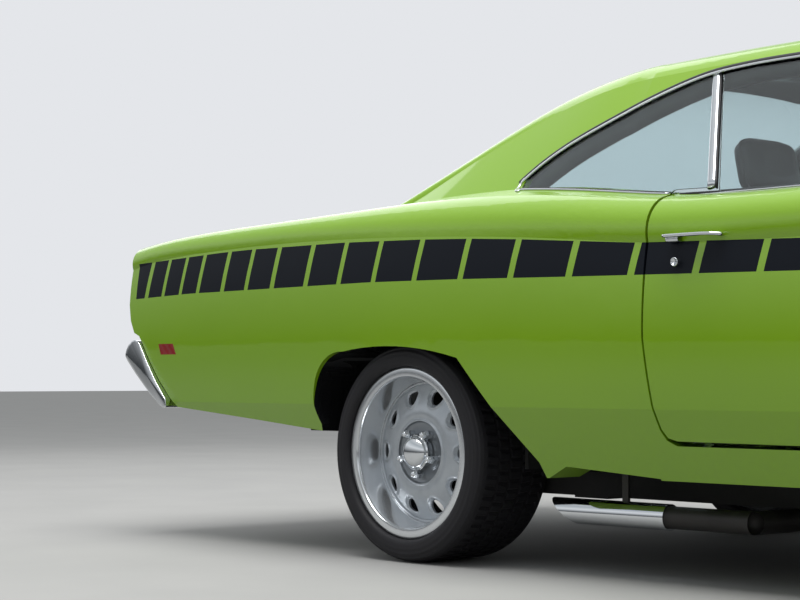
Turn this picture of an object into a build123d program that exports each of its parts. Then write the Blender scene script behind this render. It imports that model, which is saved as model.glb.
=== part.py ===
"""Two-door hardtop muscle car, in millimetres. +X is forward, +Y is the car's left, +Z is up.

The origin is on the ground, in the middle of the car's length and width. The lower body is one lofted
envelope from a short table of cross sections, and the doors, wings, bonnet and boot lid are cut from it
where the real panels meet. The greenhouse is a second lofted envelope. Its shell is the roof with its
pillars, and its windows are thin slices of the same envelope, so that glass and panel lie flush.
"""
import os

from build123d import *

os.makedirs("parts", exist_ok=True)

# Driving dimensions
LENGTH = 5150.0
WHEELBASE = 2946.0
REAR_OVERHANG = 1352.0
AXLE_R = -LENGTH / 2 + REAR_OVERHANG
AXLE_F = AXLE_R + WHEELBASE
TYRE_R = 300.0
GAP = 6.0

# Body side: its underside, its lower crease and its widest line
SILL_Z, LOW_Z, WIDE_Z = 250.0, 430.0, 620.0
WALL_IN = 770.0
LID_SKIN = 16.0
BODY_END, NOSE_END = 2540.0, 2520.0

# Doors
DOOR_X0, DOOR_X1 = -335.0, 1035.0
DOOR_Z0, DOOR_IN = 355.0, 792.0
ROCKER_Z = 343.0
DOOR_SLANT = 17.0
HINGE_INSET = 12.0
HINGE_X, HINGE_Y = DOOR_X1 - HINGE_INSET, 939.0
HINGE_PIN_R, HINGE_ZS = 5.0, (450.0, 720.0)
POST_X0, POST_X1, POST_Y0, POST_Y1 = 862.0, 1029.0, 700.0, 868.0

# Lids
HOOD_X0, HOOD_X1 = 1072.0, 2462.0
LID_X0, LID_X1 = -2474.0, -1560.0
LID_Y = WALL_IN - GAP

# Wheels: track edges, tyre widths and rim
RIM_R, BARREL_R, DISC_R = 235.6, 206.0, 190.0
WHEELS = {
    # end: axle x, lip plane, tyre outside, tyre inside
    "rear": (AXLE_R, 910.0, 925.0, 640.0),
    "front": (AXLE_F, 893.0, 905.0, 660.0),
}
TYRE_SIDES, BEAD_DEPTH = 36, 17.5
WELL_R = 352.0
SPINDLE_R, HUB_CLEARANCE = 22.0, 0.05
LUGS, LUG_PCD, SLOTS = 5, 120.65, 10

# Under the floor
FLOOR_Z, BOOT_Z, BOOT_X0, TUNNEL_Y = 274.0, 424.0, -2246.0, 118.0
GEARBOX_R, ENGINE_X0, ENGINE_X1 = 75.0, 1240.0, 1900.0
PIPE_Y, PIPE_Z, PIPE_R = 330.0, 215.0, 28.0
TIP_Y, TIP_Z, TIP_R, TIP_X = 770.0, 161.0, 33.0, -430.0
MUFFLER_X0, BEND_X, TANK_Z = -330.0, -150.0, 332.0
RAIL_TOP, REAR_RAIL_TOP, FLOOR_SHEET = 255.0, 415.0, 12.0
LIFT_XS, LIFT_Z = (-800.0, 1000.0), 184.0

# Bumpers and the glass's way out of the roof frame
BUMPER_GAP = 4.0
PLATE_SPACING, PLATE_HOLE_R = 178.0, 3.5
LAMPS_Y = (530.0, 682.0)
GLASS_SWING, GLASS_FOOT = 10.0, 925.0

# Lower body, half sections from tail to nose
BODY = [
    # x, widest, crease z, shoulder y, shoulder z, inner edge y, inner edge z, centre z
    (-2560, 940, 852, 862, 928, 772, 938, 950),
    (-2300, 945, 886, 860, 954, 770, 964, 986),
    (-1900, 952, 899, 860, 971, 770, 978, 1002),
    (-1550, 960, 899, 862, 982, 780, 992, 1010),
    (-1223, 966, 890, 860, 992, 800, 1004, 1014),
    (-800, 962, 868, 858, 985, 812, 1003, 1008),
    (-335, 953, 829, 868, 944, 822, 957, 975),
    (350, 949, 820, 872, 938, 830, 946, 966),
    (1035, 951, 812, 866, 934, 790, 944, 962),
    (1500, 955, 803, 860, 922, 780, 934, 952),
    (1900, 952, 793, 850, 904, 772, 916, 935),
    (2250, 934, 780, 826, 878, 760, 890, 908),
    (2560, 888, 762, 776, 844, 725, 854, 870),
]

# Greenhouse, half sections of its three stretches. Its foot is inside the body.
CABIN_Z0, CABIN_FOOT = 900.0, 878.0
ROOF_BACK, ROOF_FRONT = (-560, 645, 1283, 552, 1332, 1361), (340, 650, 1266, 555, 1314, 1340)
CABIN = {
    # x, rail y, rail z, shoulder y, shoulder z, centre z
    "sail": [(-1500, 836, 943, 796, 956, 968), (-1411, 806, 970, 762, 992, 1008), (-1213, 738, 1072, 685, 1106, 1128),
             (-1080, 696, 1144, 634, 1180, 1204), (-950, 664, 1202, 594, 1247, 1273), (-820, 651, 1244, 567, 1294, 1322),
             (-690, 646, 1271, 556, 1321, 1350), ROOF_BACK],
    "roof": [ROOF_BACK, (-260, 645, 1291, 550, 1338, 1366), (40, 646, 1289, 551, 1336, 1363), ROOF_FRONT],
    "windscreen": [ROOF_FRONT, (600, 756, 1107, 640, 1138, 1192), (860, 860, 945, 706, 982, 1040),
                   (1010, 874, 925, 760, 932, 957)],
}
PILLAR = 24.0
GLASS_OUT, GLASS_IN = 3.0, 9.0

# Side window opening in side view, from the rear tip up the sail edge and along the rail
WINDOW = [(-884, 1034), (-862, 1058), (-783, 1111), (-678, 1158), (-557, 1208), (-447, 1245), (-358, 1267),
          (-214, 1276), (80, 1277), (225, 1266), (740, 952), (765, 890), (-884, 890)]
DIVIDER_X, DIVIDER_W = -340.0, 26.0

# Wheel arch openings in side view, as start, then (via, end) arcs or straight ends
REAR_ARCH = [(-1548, 240), (-1556, 354), ((-1580, 420), (-1572, 480)), ((-1530, 548), (-1436, 579)),
             ((-1225, 592), (-968, 558)), (-730, 290), (-712, 240)]
FRONT_ARCH = [(1374, 240), (1374, 340), ((1376, 400), (1398, 456)), ((1450, 548), (1560, 596)),
              ((1723, 614), (1886, 596)), ((2010, 540), (2066, 430)), (2092, 330), (2100, 240)]

# The tail in side view, from the foot of the quarter up its slanted edge, then the inside of the tail panel
TAIL = [(-2280, 414), (-2316, 445), (-2372, 505), (-2417, 563), (-2451, 611), (-2474, 640), (-2503, 651),
        (-2525, 690), (-2538, 743), (-BODY_END, 800), (-BODY_END, 1100)]
TAIL_INSIDE = [(LID_X0 - GAP, 1100), (LID_X0 - GAP, 690), (-2400, 630), (-2365, 580), (-2320, 520), (BOOT_X0, 445),
               (BOOT_X0, 414)]

# The rear bumper's blade in side view, and its end in plan
BUMPER = [(-2572, 584), (-2560, 602), (-2543, 613), (-2512, 623), (-2485, 627), (-2460, 622), (-2455, 573),
          (-2327, 419), (-2338, 411), (-2371, 425), (-2427, 457), (-2513, 521), (-2556, 558), (-2575, 572)]

# The bulge along the middle of the hood: half widths at its foot and top, foot and top heights
BULGE = [
    # x, foot y, top y, foot z, top z
    (1150, 150, 120, 947, 958),
    (1230, 205, 165, 945, 984),
    (1860, 180, 140, 926, 958),
    (2080, 110, 85, 912, 924),
]

# Grille: opening, bars and the rings round the head lamps
GRILLE_BACK, GRILLE_X, GRILLE_Z0, GRILLE_Z1 = 2472.0, 2492.0, 550.0, 725.0
GRILLE_RIM, BARS, BAR_H, LAMP_Z, LAMP_R = 12.0, 6, 6.0, 638.0, 73.0
BAR_END = 436.0

# Side outlines of the walls in side view
QUARTER = [(-341, 1100), (-341, 600), (-322, 440), (-310, 380), (-296, 356), (-268, ROCKER_Z), (-341, ROCKER_Z),
           (-341, 262), (-640, 282), (-730, 240), (-1548, 240), (-1556, 352), (-1874, 380), *TAIL]
DOOR = [(DOOR_X0, 1000), (DOOR_X0, 600), (-316, 440), (-304, 382), (-290, 362), (-264, DOOR_Z0),
        (DOOR_X1, 349), (DOOR_X1, 1000)]
FENDER = [(1041, 1000), (1041, 262), (1374, 268), (1374, 240), (2100, 240), (2100, 330), (2300, 352),
          (NOSE_END, 392), (NOSE_END, 1000)]


def box(x0, x1, y0, y1, z0, z1):
    """A block between two corners."""
    return Pos((x0 + x1) / 2, (y0 + y1) / 2, (z0 + z1) / 2) * Box(x1 - x0, y1 - y0, z1 - z0)


def tube_y(x, z, radius, y0, y1):
    """A cylinder along Y."""
    return Pos(x, (y0 + y1) / 2, z) * Rot(90, 0, 0) * Cylinder(radius, y1 - y0)


def tube_x(y, z, radius, x0, x1):
    """A cylinder along X."""
    return Pos((x0 + x1) / 2, y, z) * Rot(0, 90, 0) * Cylinder(radius, x1 - x0)


def side_face(points):
    """A face at y = 0 from (x, z) points."""
    return make_face(Polyline(*[(x, 0, z) for x, z in points], close=True))


def side_prism(points, y0, y1):
    """A side-view outline carried across the car from y0 to y1."""
    return extrude(Pos(0, y0, 0) * side_face(points), amount=y1 - y0, dir=(0, 1, 0))


def plan_prism(points, z0, z1):
    """A plan-view outline of (x, y) points carried up from z0 to z1."""
    return extrude(Pos(0, 0, z0) * make_face(Polyline(*points, close=True)), amount=z1 - z0, dir=(0, 0, 1))


def arch_prism(path, y0, y1):
    """A wheel arch opening carried across the car. A step of two points is an arc: via, end."""
    edges = []
    at = path[0]
    for step in path[1:]:
        arc = isinstance(step[0], tuple)
        end = step[1] if arc else step
        start3, end3 = (at[0], y0, at[1]), (end[0], y0, end[1])
        edges.append(ThreePointArc(start3, (step[0][0], y0, step[0][1]), end3) if arc else Line(start3, end3))
        at = end
    edges.append(Line((at[0], y0, at[1]), (path[0][0], y0, path[0][1])))
    return extrude(make_face(edges), amount=y1 - y0, dir=(0, 1, 0))


def left_and_right(shape):
    """The left-hand shape with its mirror copy, as one compound of separate solids."""
    return Compound(children=[*shape.solids(), *mirror(shape, about=Plane.XZ).solids()])


def whole(shape):
    """The left half fused with its mirror copy across the middle of the car."""
    return shape + mirror(shape, about=Plane.XZ)


def join(shapes):
    """Several shapes fused into one."""
    result = shapes[0]
    for shape in shapes[1:]:
        result = result + shape
    return result


def body_section(row, inset):
    """One half section of the lower body, in a plane across the car."""
    x, wide, crease, shoulder_y, shoulder_z, edge_y, edge_z, centre_z = row
    wide = wide - inset
    low, sill = (0.0, SILL_Z), (wide - 75, SILL_Z)
    turn, side = (wide - 14, LOW_Z), (wide, WIDE_Z)
    line = (wide - 20, crease - 0.4 * inset)
    top = (shoulder_y - inset, shoulder_z - inset)
    roll = ((line[0] + top[0]) / 2 + 26, (line[1] + top[1]) / 2 + 8)
    edge = (edge_y - inset, edge_z - inset)
    middle = (0.0, centre_z - inset)
    crown = (edge_y * 0.55, edge_z * 0.28 + centre_z * 0.72 - inset)
    edges = [Line(low, sill), Line(sill, turn), ThreePointArc(turn, side, line), ThreePointArc(line, roll, top),
             Line(top, edge), ThreePointArc(edge, crown, middle), Line(middle, low)]
    return Plane.YZ.offset(x) * make_face(edges)


def lid_band(row):
    """One half section of the sheet that the lids are cut from."""
    x, _, _, shoulder_y, shoulder_z, edge_y, edge_z, centre_z = row
    crown = (edge_y * 0.55, edge_z * 0.28 + centre_z * 0.72)
    top, edge, middle = (shoulder_y, shoulder_z), (edge_y, edge_z), (0.0, centre_z)
    low = [(y, z - LID_SKIN) for y, z in (top, edge, crown, middle)]
    edges = [Line(top, edge), ThreePointArc(edge, crown, middle), Line(middle, low[3]),
             ThreePointArc(low[3], low[2], low[1]), Line(low[1], low[0]), Line(low[0], top)]
    return Plane.YZ.offset(x) * make_face(edges)


def body_half(inset=0.0):
    """The left half of the lower body's envelope, moved inwards by the inset."""
    return loft([body_section(row, inset) for row in BODY])


def cabin_points(row, inset):
    """Foot, rail, bend, shoulder, crown and middle of one greenhouse section, moved inwards."""
    x, rail_y, rail_z, shoulder_y, shoulder_z, centre_z = row
    rail = (rail_y - inset, rail_z - 0.5 * inset)
    shoulder = (shoulder_y - 0.6 * inset, shoulder_z - inset)
    bend = ((rail[0] + shoulder[0]) / 2 + 7, (rail[1] + shoulder[1]) / 2 + 9)
    crown = (shoulder_y * 0.52, shoulder_z * 0.26 + centre_z * 0.74 - inset)
    return (CABIN_FOOT - 1.15 * inset, CABIN_Z0), rail, bend, shoulder, crown, (0.0, centre_z - inset)


def cabin_band(row, out, inn):
    """One half section of a sheet of the greenhouse, between two insets."""
    foot, rail, bend, shoulder, crown, middle = cabin_points(row, out)
    foot_i, rail_i, bend_i, shoulder_i, crown_i, middle_i = cabin_points(row, inn)
    edges = [Line(foot, rail), ThreePointArc(rail, bend, shoulder), ThreePointArc(shoulder, crown, middle),
             Line(middle, middle_i), ThreePointArc(middle_i, crown_i, shoulder_i),
             ThreePointArc(shoulder_i, bend_i, rail_i), Line(rail_i, foot_i), Line(foot_i, foot)]
    return Plane.YZ.offset(row[0]) * make_face(edges)


def cabin_sheet(out, inn, stretches=("sail", "roof", "windscreen")):
    """The left half of a sheet of the greenhouse between two insets, over some of its stretches."""
    return join([loft([cabin_band(row, out, inn) for row in CABIN[name]]) for name in stretches])


def wheel_well(end):
    """The space that a left-hand wheel turns in, out to the inside of the wing's skin."""
    axle = AXLE_R if end == "rear" else AXLE_F
    skin_in, y0 = (944, 600) if end == "rear" else (932, 500)
    arch = arch_prism(REAR_ARCH if end == "rear" else FRONT_ARCH, y0, 1000)
    return arch + tube_y(axle, TYRE_R, WELL_R, y0, skin_in)


def door_cutter():
    """The left door's space in plan: slanted rear face, a step behind the post, a round nose at the hinge."""
    inner_front = POST_X0 - GAP
    outline = [(DOOR_X0, 1000), (DOOR_X0, 953), (DOOR_X0 + DOOR_SLANT, DOOR_IN), (inner_front, DOOR_IN),
               (inner_front, POST_Y1 + GAP), (DOOR_X1, POST_Y1 + GAP), (DOOR_X1, HINGE_Y), (HINGE_X, HINGE_Y),
               (HINGE_X, 1000)]
    nose = Pos(HINGE_X, HINGE_Y, 600) * Cylinder(HINGE_INSET, 900)
    return plan_prism(outline, 200, 1100) + nose


def windscreen_outline(shrink):
    """The windscreen opening in plan, as a prism."""
    top, corner, side = 378 + shrink, (325 + shrink, 608 - shrink), (860, 815 - shrink)
    foot = (1040, side[1])
    edges = [ThreePointArc(corner, (top, 0), (corner[0], -corner[1])), Line(corner, side), Line(side, foot),
             Line(foot, (foot[0], -foot[1])), Line((foot[0], -foot[1]), (side[0], -side[1])),
             Line((side[0], -side[1]), (corner[0], -corner[1]))]
    return extrude(Pos(0, 0, 850) * make_face(edges), amount=600, dir=(0, 0, 1))


def back_light_outline(shrink):
    """The rear window opening in plan, as a prism."""
    top, base, y_top, y_base = -725 - shrink, -1372 + shrink, 505 - shrink, 628 - shrink
    edges = [ThreePointArc((top - 24, -y_top), (top, 0), (top - 24, y_top)), Line((top - 24, y_top), (base, y_base)),
             ThreePointArc((base, y_base), (base - 26, 0), (base, -y_base)), Line((base, -y_base), (top - 24, -y_top))]
    return extrude(Pos(0, 0, 850) * make_face(edges), amount=600, dir=(0, 0, 1))


def window_prism(clearance, x0, x1):
    """The left side window outline between two places, smaller by the clearance."""
    face = offset(side_face(WINDOW), amount=-clearance) if clearance else side_face(WINDOW)
    prism = extrude(Pos(0, 500, 0) * face, amount=450, dir=(0, 1, 0))
    return prism & box(x0, x1, 500, 950, 880, 1400)


def rim_profile(w):
    """The rim's half section as (radius, depth) points: lip plane at 0, inboard is negative."""
    return [(229, 0), (RIM_R, -5), (RIM_R, -13), (217, -17), (215, -50), (199, -66), (199, -w + 70),
            (215, -w + 52), (217, -w + 17), (RIM_R, -w + 13), (RIM_R, -w + 5), (229, -w), (209, -w + 14),
            (207, -w + 48), (DISC_R, -w + 64), (DISC_R, -84), (150, -72), (100, -58), (74, -58), (70, -130),
            (0, -130), (0, -40), (62, -44), (92, -49), (150, -62), (DISC_R - 2, -74), (BARREL_R, -62),
            (BARREL_R + 2, -8)]


def rim(width):
    """A deep dish wheel with D-shaped slots round a domed cap, its axis along Y, its lip plane at y = 0."""
    face = make_face(Polyline(*[(r, y, 0) for r, y in rim_profile(width)], close=True))
    wheel = revolve(face, Axis.Y)
    slot = Rot(90, 0, 0) * fillet(make_face(Polyline((130, -10), (130, 10), (177, 27), (177, -27), close=True)).vertices(), 9)
    raised = extrude(Pos(0, -76, 0) * offset(slot, amount=7), amount=22, dir=(0, 1, 0))
    hole = extrude(Pos(0, -100, 0) * slot, amount=60, dir=(0, 1, 0))
    for i in range(SLOTS):
        turn = Rot(0, (i + 0.5) * 360 / SLOTS, 0)
        wheel = (wheel + turn * raised) - turn * hole
    for i in range(LUGS):
        turn = Rot(0, 18 + i * 360 / LUGS, 0)
        wheel = wheel + turn * Pos(LUG_PCD / 2, -38, 0) * Rot(90, 0, 0) * Cylinder(10.5, 26)
    cap = Pos(0, -34, 0) * Rot(-90, 0, 0) * Cone(44, 34, 34)
    bore = Pos(0, -96, 0) * Rot(90, 0, 0) * Cylinder(SPINDLE_R + HUB_CLEARANCE, 72)
    return wheel + cap - bore


def tyre_stack(profile):
    """A solid of flat-sided rings between (radius, depth) steps, its axis along Y."""
    rings = [Plane.XZ.offset(-depth) * RegularPolygon(radius, TYRE_SIDES) for radius, depth in profile]
    return loft(rings, ruled=True)


def tyre(width, bulge):
    """A tyre round that rim, its side walls bulging past the lip plane. It is faceted, with flat sides round."""
    out, inn = bulge, bulge - width
    low = 2 * bulge - width
    body = tyre_stack([(252, inn), (277, inn + 3), (293, inn + 15), (TYRE_R, inn + 36),
                       (TYRE_R, out - 36), (293, out - 15), (277, out - 3), (252, out)])
    bead = RIM_R + 1.2
    outer_dish = tyre_stack([(bead, -BEAD_DEPTH), (252, out + 0.01)])
    inner_dish = tyre_stack([(252, inn - 0.01), (bead, low + BEAD_DEPTH)])
    bore = tyre_stack([(218, inn - 1), (218, out + 1)])
    return body - outer_dish - inner_dish - bore


def seat(y):
    """A bucket seat with its headrest and its pedestal, from side profiles."""
    cushion = [(-250, 310), (250, 345), (262, 440), (230, 470), (-210, 430), (-250, 400)]
    back = [(-262, 400), (-150, 420), (-250, 700), (-330, 960), (-400, 950), (-390, 700)]
    rest = [(-345, 975), (-405, 962), (-440, 1120), (-350, 1140)]
    return join([
        side_prism(cushion, y - 240, y + 240), side_prism(back, y - 232, y + 232), side_prism(rest, y - 120, y + 120),
        side_prism([(-330, 940), (-312, 940), (-372, 1000), (-390, 1000)], y - 10, y + 10),
        box(-200, 200, y - 190, y + 190, FLOOR_Z, 350),
    ])


def bulge_section(row):
    """One half section of the hood's bulge, with a rounded shoulder."""
    x, foot_y, top_y, foot_z, top_z = row
    shoulder = ((foot_y * 0.35 + top_y * 0.65), top_z - 0.25 * (top_z - foot_z))
    edges = [Line((0, foot_z - 8), (foot_y, foot_z - 8)), Line((foot_y, foot_z - 8), (foot_y, foot_z)),
             ThreePointArc((foot_y, foot_z), shoulder, (top_y, top_z)), Line((top_y, top_z), (0, top_z + 3)),
             Line((0, top_z + 3), (0, foot_z - 8))]
    return Plane.YZ.offset(x) * make_face(edges)


def grille():
    """The left half of the grille: a rim, a thin back plate, level bars and a ring round each head lamp."""
    wide = WALL_IN - 2
    rim = box(GRILLE_BACK, GRILLE_X, 0, wide, GRILLE_Z0, GRILLE_Z1)
    rim = rim - box(GRILLE_BACK + 4, GRILLE_X + 1, -1, wide - GRILLE_RIM, GRILLE_Z0 + GRILLE_RIM, GRILLE_Z1 - GRILLE_RIM)
    pitch = (GRILLE_Z1 - GRILLE_Z0 - 2 * GRILLE_RIM) / (BARS + 1)
    levels = [GRILLE_Z0 + GRILLE_RIM + (i + 1) * pitch for i in range(BARS)]
    bars = [box(GRILLE_BACK, GRILLE_X - 4, 0, BAR_END, z - BAR_H / 2, z + BAR_H / 2) for z in levels]
    post = box(GRILLE_BACK, GRILLE_X, BAR_END, BAR_END + 12, GRILLE_Z0 + 1, GRILLE_Z1 - 1)
    spine = box(GRILLE_BACK, GRILLE_X + 4, 0, 9, GRILLE_Z0 + 1, GRILLE_Z1 - 1)
    rings = [tube_x(y, LAMP_Z, LAMP_R - 2, GRILLE_BACK, GRILLE_X - 2) for y in LAMPS_Y]
    return join([rim, *bars, post, spine, *rings])


def plate_holes(x, z):
    """Two holes for a number plate's bolts, through a bumper."""
    return join([tube_x(side * PLATE_SPACING / 2, z, PLATE_HOLE_R, x - 60, x + 60) for side in (-1, 1)])


def save(name, shape):
    """Write one piece."""
    export_step(shape, f"parts/{name}.step")


def save_pair(name, shape):
    """Write a left-hand piece and its right-hand mirror copy, each on its own."""
    save(f"{name}_left", shape)
    save(f"{name}_right", mirror(shape, about=Plane.XZ))


# Envelopes
outer = body_half()
clear_of_body = body_half(-BUMPER_GAP) & box(0, NOSE_END + BUMPER_GAP, 0, 1000, 200, 1100)
lid_sheet = loft([lid_band(row) for row in BODY])
glass_sheet = cabin_sheet(GLASS_OUT, GLASS_IN)

# Side walls, with the marker lamps let into them
marker_rear = outer & side_prism([(-2362, 613), (-2280, 613), (-2264, 579), (-2350, 579)], 900, 1000)
marker_front = outer & box(2330, 2430, 890, 1000, 576, 618)
quarter = (outer & side_prism(QUARTER, WALL_IN, 1000)) - wheel_well("rear") - marker_rear
fender = (outer & side_prism(FENDER, WALL_IN, 1000)) - wheel_well("front") - marker_front
rocker = outer & box(-341, 1035, 690, 1000, 258, ROCKER_Z)
save_pair("quarter", quarter)
save_pair("fender", fender)
save("rockers", left_and_right(rocker))
save("side_markers", left_and_right(Compound(children=[marker_rear, marker_front])))

# Doors with their glass and handles
door_glass = (glass_sheet & window_prism(GAP, DIVIDER_X + GLASS_SWING, 900)) & box(-400, 900, 0, 950, GLASS_FOOT, 1400)
door = ((outer & side_prism(DOOR, DOOR_IN, 1000)) & door_cutter()) - door_glass
door = door - box(650, POST_X0 - 4, 780, 862, 928, 1100)
for z in HINGE_ZS:
    door = door - box(HINGE_X - 18, 1050, POST_Y1, HINGE_Y + 13, z - 22, z + 22)
    door = door + Pos(HINGE_X, HINGE_Y, z) * Cylinder(HINGE_PIN_R, 46)
grip = box(-262, -104, 940, 968, 832, 842) + box(-262, -240, 930, 968, 826, 842) + box(-126, -104, 930, 968, 826, 842)
lock = tube_y(-239, 778, 11, 930, 954)
mirror_stem = box(700, 730, 880, 905, 925, 975)
mirror_head = box(690, 735, 875, 985, 965, 1040)
door_trim = Compound(children=[grip - outer, lock - outer, (mirror_stem + mirror_head) - outer])
save_pair("door", door)
save_pair("door_glass", door_glass)
save_pair("door_trim", door_trim)

# Greenhouse: roof with its pillars, then the fixed glass
roof = (cabin_sheet(0, PILLAR) - window_prism(0, -900, 900)) - outer
roof = whole(roof - windscreen_outline(0) - back_light_outline(0))
save("roof", roof)
save("windshield", whole((glass_sheet & windscreen_outline(2)) - outer))
save("rear_window", whole((glass_sheet & back_light_outline(2)) - outer))
save("quarter_glass", left_and_right((glass_sheet & window_prism(2, -900, DIVIDER_X - DIVIDER_W)) - outer))
divider = cabin_sheet(0, 14, ["sail", "roof"]) & window_prism(0, DIVIDER_X - DIVIDER_W, DIVIDER_X)
save("window_dividers", left_and_right(divider - outer))

# Lids and fixed top panels
bulge = loft([bulge_section(row) for row in BULGE])
save("hood", whole((lid_sheet & box(HOOD_X0, HOOD_X1, 0, LID_Y, 700, 1100)) + bulge))
save("trunk_lid", whole(lid_sheet & box(LID_X0, LID_X1, 0, LID_Y, 700, 1100)))
post = outer & box(POST_X0, POST_X1, POST_Y0, POST_Y1, ROCKER_Z, 925)
cowl = join([lid_sheet & box(POST_X0, HOOD_X0 - GAP, 0, POST_Y1, 700, 1100), post,
             lid_sheet & box(POST_X0, POST_X1, POST_Y0, POST_Y1, 700, 1100)])
cowl = cowl - box(1040, 1100, WALL_IN - 1, 1000, 700, 1100)
save("cowl", whole(cowl))
arms = [(box(HINGE_X - 10, HINGE_X + 6, POST_Y1, HINGE_Y, z - 15, z + 15) + Pos(HINGE_X, HINGE_Y, z) * Cylinder(10, 30))
        - Pos(HINGE_X, HINGE_Y, z) * Cylinder(HINGE_PIN_R + 0.5, 31) for z in HINGE_ZS]
save("door_hinges", left_and_right(Compound(children=arms)))
tail = outer & side_prism(TAIL + TAIL_INSIDE, 0, WALL_IN)
lamp = tail & box(-BODY_END, -BODY_END + 20, 430, 735, 706, 800)
save("tail_panel", whole(tail - lamp))
save("tail_lamps", left_and_right(lamp))
nose = outer & box(HOOD_X1 + GAP, NOSE_END, 0, WALL_IN, 725, 1100)
valance = side_prism([(NOSE_END, 397), (2450, 330), (2424, 330), (2424, 342), (2444, 342), (2512, 409), (NOSE_END, 409)],
                     0, WALL_IN) - box(2400, 2560, 388, 462, 388, 427)
save("nose_panel", Compound(children=[whole(nose), whole(valance)]))

# Floor, firewall and rear tubs
tub = tube_y(AXLE_R, TYRE_R, WELL_R + 10, 590, WALL_IN) - tube_y(AXLE_R, TYRE_R, WELL_R, 600, WALL_IN)
tub = tub - box(AXLE_R - 500, AXLE_R + 500, 500, 800, -100, BOOT_Z)
floor_half = join([
    box(-900, 1060, 0, 690, FLOOR_Z - 12, FLOOR_Z), box(1048, 1060, 0, WALL_IN, FLOOR_Z - 12, 925),
    box(-912, -900, 0, 764, FLOOR_Z - 12, BOOT_Z), box(BOOT_X0, -900, 0, 600, BOOT_Z, BOOT_Z + 12),
    box(BOOT_X0, -1590, 590, WALL_IN, BOOT_Z, BOOT_Z + 12), box(-912, 1060, 0, TUNNEL_Y + 12, FLOOR_Z - 12, 400),
])
floor_half = floor_half - box(-913, 1061, -1, TUNNEL_Y, 200, 388) + tub
save("floor_pan", whole(floor_half))

# Frame with the front arms, under the floor
rail_mid = box(-960, 1200, 560, 630, 190, 255)
rail_front = side_prism([(1080, 190), (1250, 340), (2420, 340), (2420, 420), (1220, 420), (1080, 255)], 390, 460)
rail_rear = side_prism([(-960, 190), (-1050, 350), (-1800, 350), (-1900, 376), (-2395, 376), (-2395, 408), (-2250, 408), (-2240, 415),
                        (-1090, 415), (-960, 255)], 500, 560)
bumper_arm = side_prism([(-2385, 400), (-2371, 425), (-2427, 457), (-2440, 440), (-2394, 380)], 505, 555)
lower_arm = plan_prism([(AXLE_F - 150, 400), (AXLE_F - 18, 700), (AXLE_F + 18, 700), (AXLE_F + 150, 400)], 205, 225)
upper_arm = plan_prism([(AXLE_F - 110, 400), (AXLE_F - 16, 690), (AXLE_F + 16, 690), (AXLE_F + 110, 400)], 440, 458)
frame_half = join([
    rail_mid, rail_front, rail_rear, box(1080, 1200, 390, 630, 190, 255), box(-1010, -900, 480, 630, 190, 255),
    box(AXLE_F - 60, AXLE_F + 60, 0, 460, 345, 415), box(-2395, -2335, 0, 560, 376, 408), box(380, 460, 0, 630, 192, 250),
    lower_arm, upper_arm, box(AXLE_F - 60, AXLE_F + 60, 400, 440, 205, 458),
    bumper_arm, box(2410, 2546, 395, 455, 395, 420),
    *[box(x - 60, x + 60, 565, 625, LIFT_Z, 191) for x in LIFT_XS],
])
for x in (-700, 100, 900):
    frame_half = frame_half + Pos(x, 595, (RAIL_TOP + FLOOR_Z - FLOOR_SHEET) / 2) * Cylinder(28, FLOOR_Z - FLOOR_SHEET - RAIL_TOP)
for x in (-1750, -2200):
    frame_half = frame_half + Pos(x, 530, (REAR_RAIL_TOP + BOOT_Z) / 2) * Cylinder(28, BOOT_Z - REAR_RAIL_TOP)
frame_half = frame_half - tube_x(PIPE_Y, PIPE_Z, PIPE_R + 8, 300, 1300) - tube_x(0, TYRE_R, GEARBOX_R, 300, 500)
save("chassis_frame", whole(frame_half))

# Engine bay sides, radiator, engine and propeller shaft
inner_wing = box(1062, 2440, 478, 490, 425, 850) + box(1062, 2440, 490, WALL_IN, 700, 712)
inner_wing = inner_wing - box(AXLE_F - 200, AXLE_F + 200, 470, 780, 200, 520)
save("inner_fenders", whole(inner_wing + box(2400, 2440, 0, 490, 420, 830)))
save("engine_block", box(ENGINE_X0, ENGINE_X1, -300, 300, 415, 840))
save("driveline", join([tube_x(0, TYRE_R, GEARBOX_R, 380, ENGINE_X0 - 40), tube_x(0, TYRE_R, 112, ENGINE_X0 - 60, ENGINE_X0),
                        tube_x(0, TYRE_R, 38, AXLE_R + 180, 380)]))

# Rear axle
axle_half = join([tube_y(AXLE_R, TYRE_R, 40, 0, 640), tube_y(AXLE_R, TYRE_R, 130, 640, 740),
                  tube_y(AXLE_R, TYRE_R, SPINDLE_R, 740, WHEELS["rear"][1] - 70)])
link = box(AXLE_R, -955, 430, 480, 215, 245) + box(AXLE_R - 25, AXLE_R + 25, 430, 470, 215, 300)
spring = Pos(AXLE_R + 60, 445, (240 + BOOT_Z) / 2) * Cylinder(52, BOOT_Z - 240)
axle_case = Pos(AXLE_R, 0, TYRE_R) * Sphere(118) + tube_x(0, TYRE_R, 50, AXLE_R, AXLE_R + 180)
save("rear_axle", whole(axle_half + link + spring) + axle_case)

# Knuckles carry the front wheels
knuckle = join([box(AXLE_F - 25, AXLE_F + 25, 706, 735, 205, 458), tube_y(AXLE_F, TYRE_R, 130, 735, 755),
                tube_y(AXLE_F, TYRE_R, SPINDLE_R, 735, WHEELS["front"][1] - 70)])
save_pair("knuckle", knuckle)

# Wheels
for end, (axle, lip, outside, inside) in WHEELS.items():
    bulge = outside - lip
    place = Pos(axle, lip, TYRE_R)
    save_pair(f"rim_{end}", place * rim(outside - inside - 2 * bulge))
    save_pair(f"tyre_{end}", place * tyre(outside - inside, bulge))

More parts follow.
